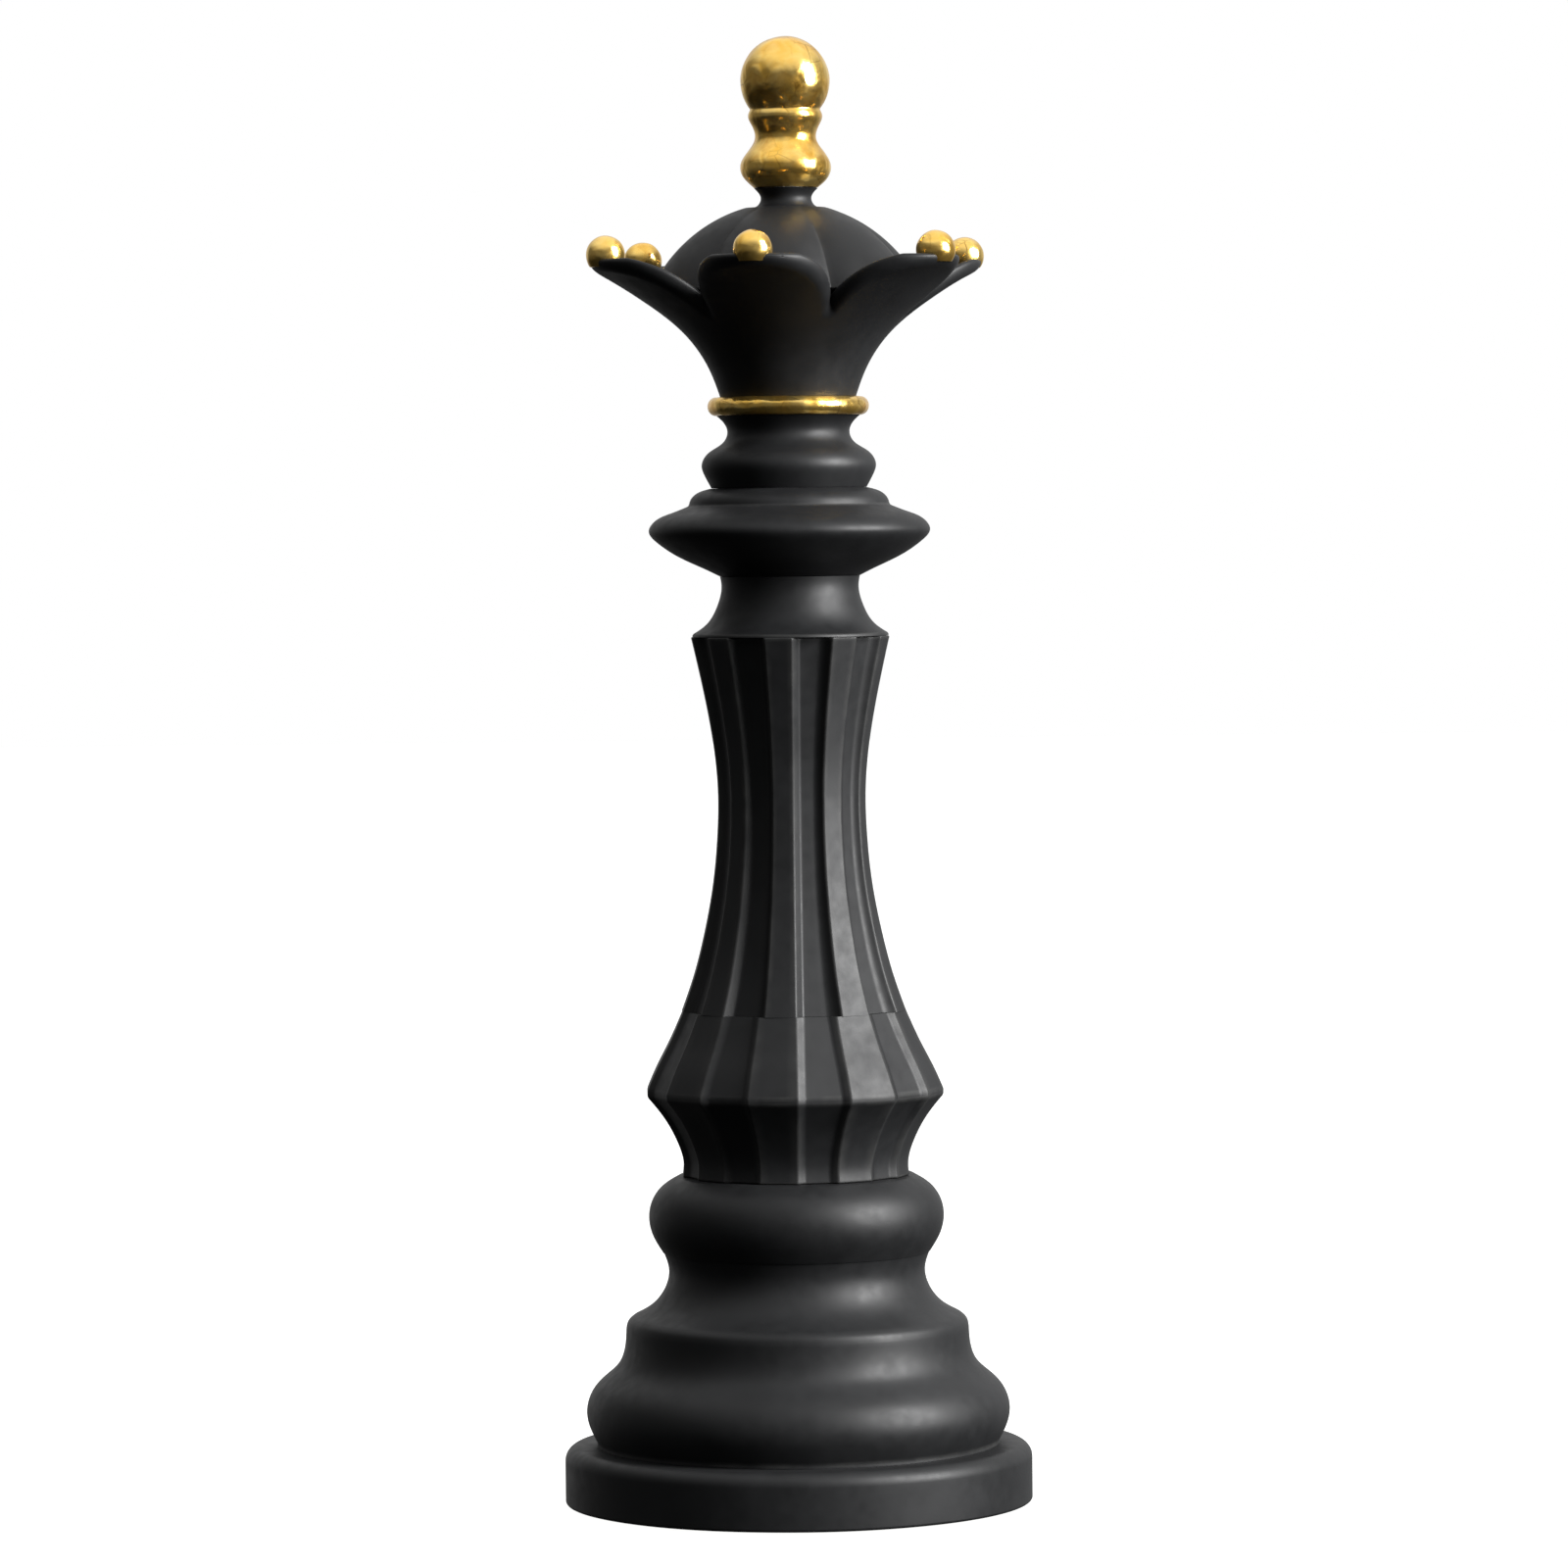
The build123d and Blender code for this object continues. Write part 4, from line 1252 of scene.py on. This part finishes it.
def make_key_light(stage):
    """Soft box to the right of the camera, aimed at the middle of the queen."""
    light = bpy.data.lights.new("key", "AREA")
    light.shape = "RECTANGLE"
    light.size, light.size_y = 0.6, 0.9
    light.energy = stage.key_light
    lamp = added("key", light)
    azimuth, elevation = math.radians(66), math.radians(20)
    out = Vector((
        math.sin(azimuth) * math.cos(elevation),
        -math.cos(azimuth) * math.cos(elevation),
        math.sin(elevation),
    ))
    lamp.location = Vector((0, 0, 0.2)) + out * 1.3
    lamp.rotation_euler = out.to_track_quat("Z", "Y").to_euler()


def make_world(stage):
    """White surroundings to the eye, whose light is strong behind and above, and weak in front and below."""
    world = bpy.data.worlds.new("studio")
    bpy.context.scene.world = world
    world.use_nodes = True
    tree = world.node_tree
    shade = next(node for node in tree.nodes if node.type == "BACKGROUND")
    way = tree.nodes.new("ShaderNodeSeparateXYZ")
    tree.links.new(tree.nodes.new("ShaderNodeTexCoord").outputs["Generated"], way.inputs["Vector"])
    behind = spread(tree, way.outputs["Y"], stage.front_light, stage.back_light, 0.45, 0.97)
    above = spread(tree, way.outputs["Z"], 0.0, stage.ceiling_light, 0.35, 0.85)
    below = spread(tree, way.outputs["Z"], 0.12, 1.0, -0.35, 0.02)
    tree.links.new(combined(tree, combined(tree, behind, above, "ADD"), below), shade.inputs["Strength"])
    seen = tree.nodes.new("ShaderNodeBackground")
    for background in (shade, seen):
        background.inputs["Color"].default_value = (1.0, 1.0, 1.0, 1.0)
    seen.inputs["Strength"].default_value = 1.0
    path = tree.nodes.new("ShaderNodeLightPath")
    mix = tree.nodes.new("ShaderNodeMixShader")
    out = next(node for node in tree.nodes if node.type == "OUTPUT_WORLD")
    tree.links.new(path.outputs["Is Camera Ray"], mix.inputs["Fac"])
    tree.links.new(shade.outputs["Background"], mix.inputs[1])
    tree.links.new(seen.outputs["Background"], mix.inputs[2])
    tree.links.new(mix.outputs["Shader"], out.inputs["Surface"])


def make_camera(stage):
    """Camera a little above the neck's height, tilted down to the middle of the queen."""
    data = bpy.data.cameras.new("camera")
    data.lens = stage.lens
    data.sensor_width = 36.0
    camera = added("camera", data)
    camera.location = (-stage.side, -stage.distance, stage.eye)
    tilt = math.atan2(stage.eye - stage.aim, stage.distance)
    face = Matrix.Rotation(math.pi / 2 - tilt, 4, "X") @ Matrix.Rotation(-stage.roll, 4, "Z")
    camera.rotation_euler = face.to_euler()
    bpy.context.scene.camera = camera


class QUEEN_OT_stage(bpy.types.Operator):
    """Makes the floor, the surroundings, the soft box and the camera"""

    bl_idname = "queen.stage"
    bl_label = "Stage"

    def execute(self, context):
        stage = context.scene.queen_stage
        make_floor(context.scene.queen_colours)
        make_world(stage)
        make_key_light(stage)
        make_camera(stage)
        context.scene.view_settings.view_transform = "Standard"
        return {"FINISHED"}


OPERATORS = (
    QUEEN_OT_fittings,
    QUEEN_OT_base,
    QUEEN_OT_shaft,
    QUEEN_OT_collar,
    QUEEN_OT_crown,
    QUEEN_OT_dome,
    QUEEN_OT_beads,
    QUEEN_OT_finial,
    QUEEN_OT_rod,
    QUEEN_OT_stage,
)

GROUPS = (
    ("queen_base", BaseSizes),
    ("queen_shaft", ShaftSizes),
    ("queen_collar", CollarSizes),
    ("queen_crown", CrownSizes),
    ("queen_finial", FinialSizes),
    ("queen_colours", FinishColours),
    ("queen_stage", StageSizes),
)


class QUEEN_PT_panel(bpy.types.Panel):
    """Sidebar panel with the queen's pieces, sizes and colours"""

    bl_idname = "QUEEN_PT_panel"
    bl_label = "Chess Queen"
    bl_space_type = "VIEW_3D"
    bl_region_type = "UI"
    bl_category = "Chess Queen"

    def draw(self, context):
        for operator in OPERATORS:
            self.layout.operator(operator.bl_idname)
        for name, group in GROUPS:
            box = self.layout.box()
            for key in group.__annotations__:
                box.prop(getattr(context.scene, name), key)


def register():
    for _, group in GROUPS:
        bpy.utils.register_class(group)
    for operator in OPERATORS:
        bpy.utils.register_class(operator)
    bpy.utils.register_class(QUEEN_PT_panel)
    for name, group in GROUPS:
        setattr(bpy.types.Scene, name, PointerProperty(type=group))


def unregister():
    for name, _ in GROUPS:
        delattr(bpy.types.Scene, name)
    bpy.utils.unregister_class(QUEEN_PT_panel)
    for operator in reversed(OPERATORS):
        bpy.utils.unregister_class(operator)
    for _, group in reversed(GROUPS):
        bpy.utils.unregister_class(group)


def main():
    """Registers the add-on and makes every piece."""
    register()
    bpy.ops.queen.fittings()
    bpy.ops.queen.base()
    bpy.ops.queen.shaft()
    bpy.ops.queen.collar()
    bpy.ops.queen.crown()
    bpy.ops.queen.dome()
    bpy.ops.queen.beads()
    bpy.ops.queen.finial()
    bpy.ops.queen.rod()
    bpy.ops.queen.stage()


if __name__ == "__main__":
    main()
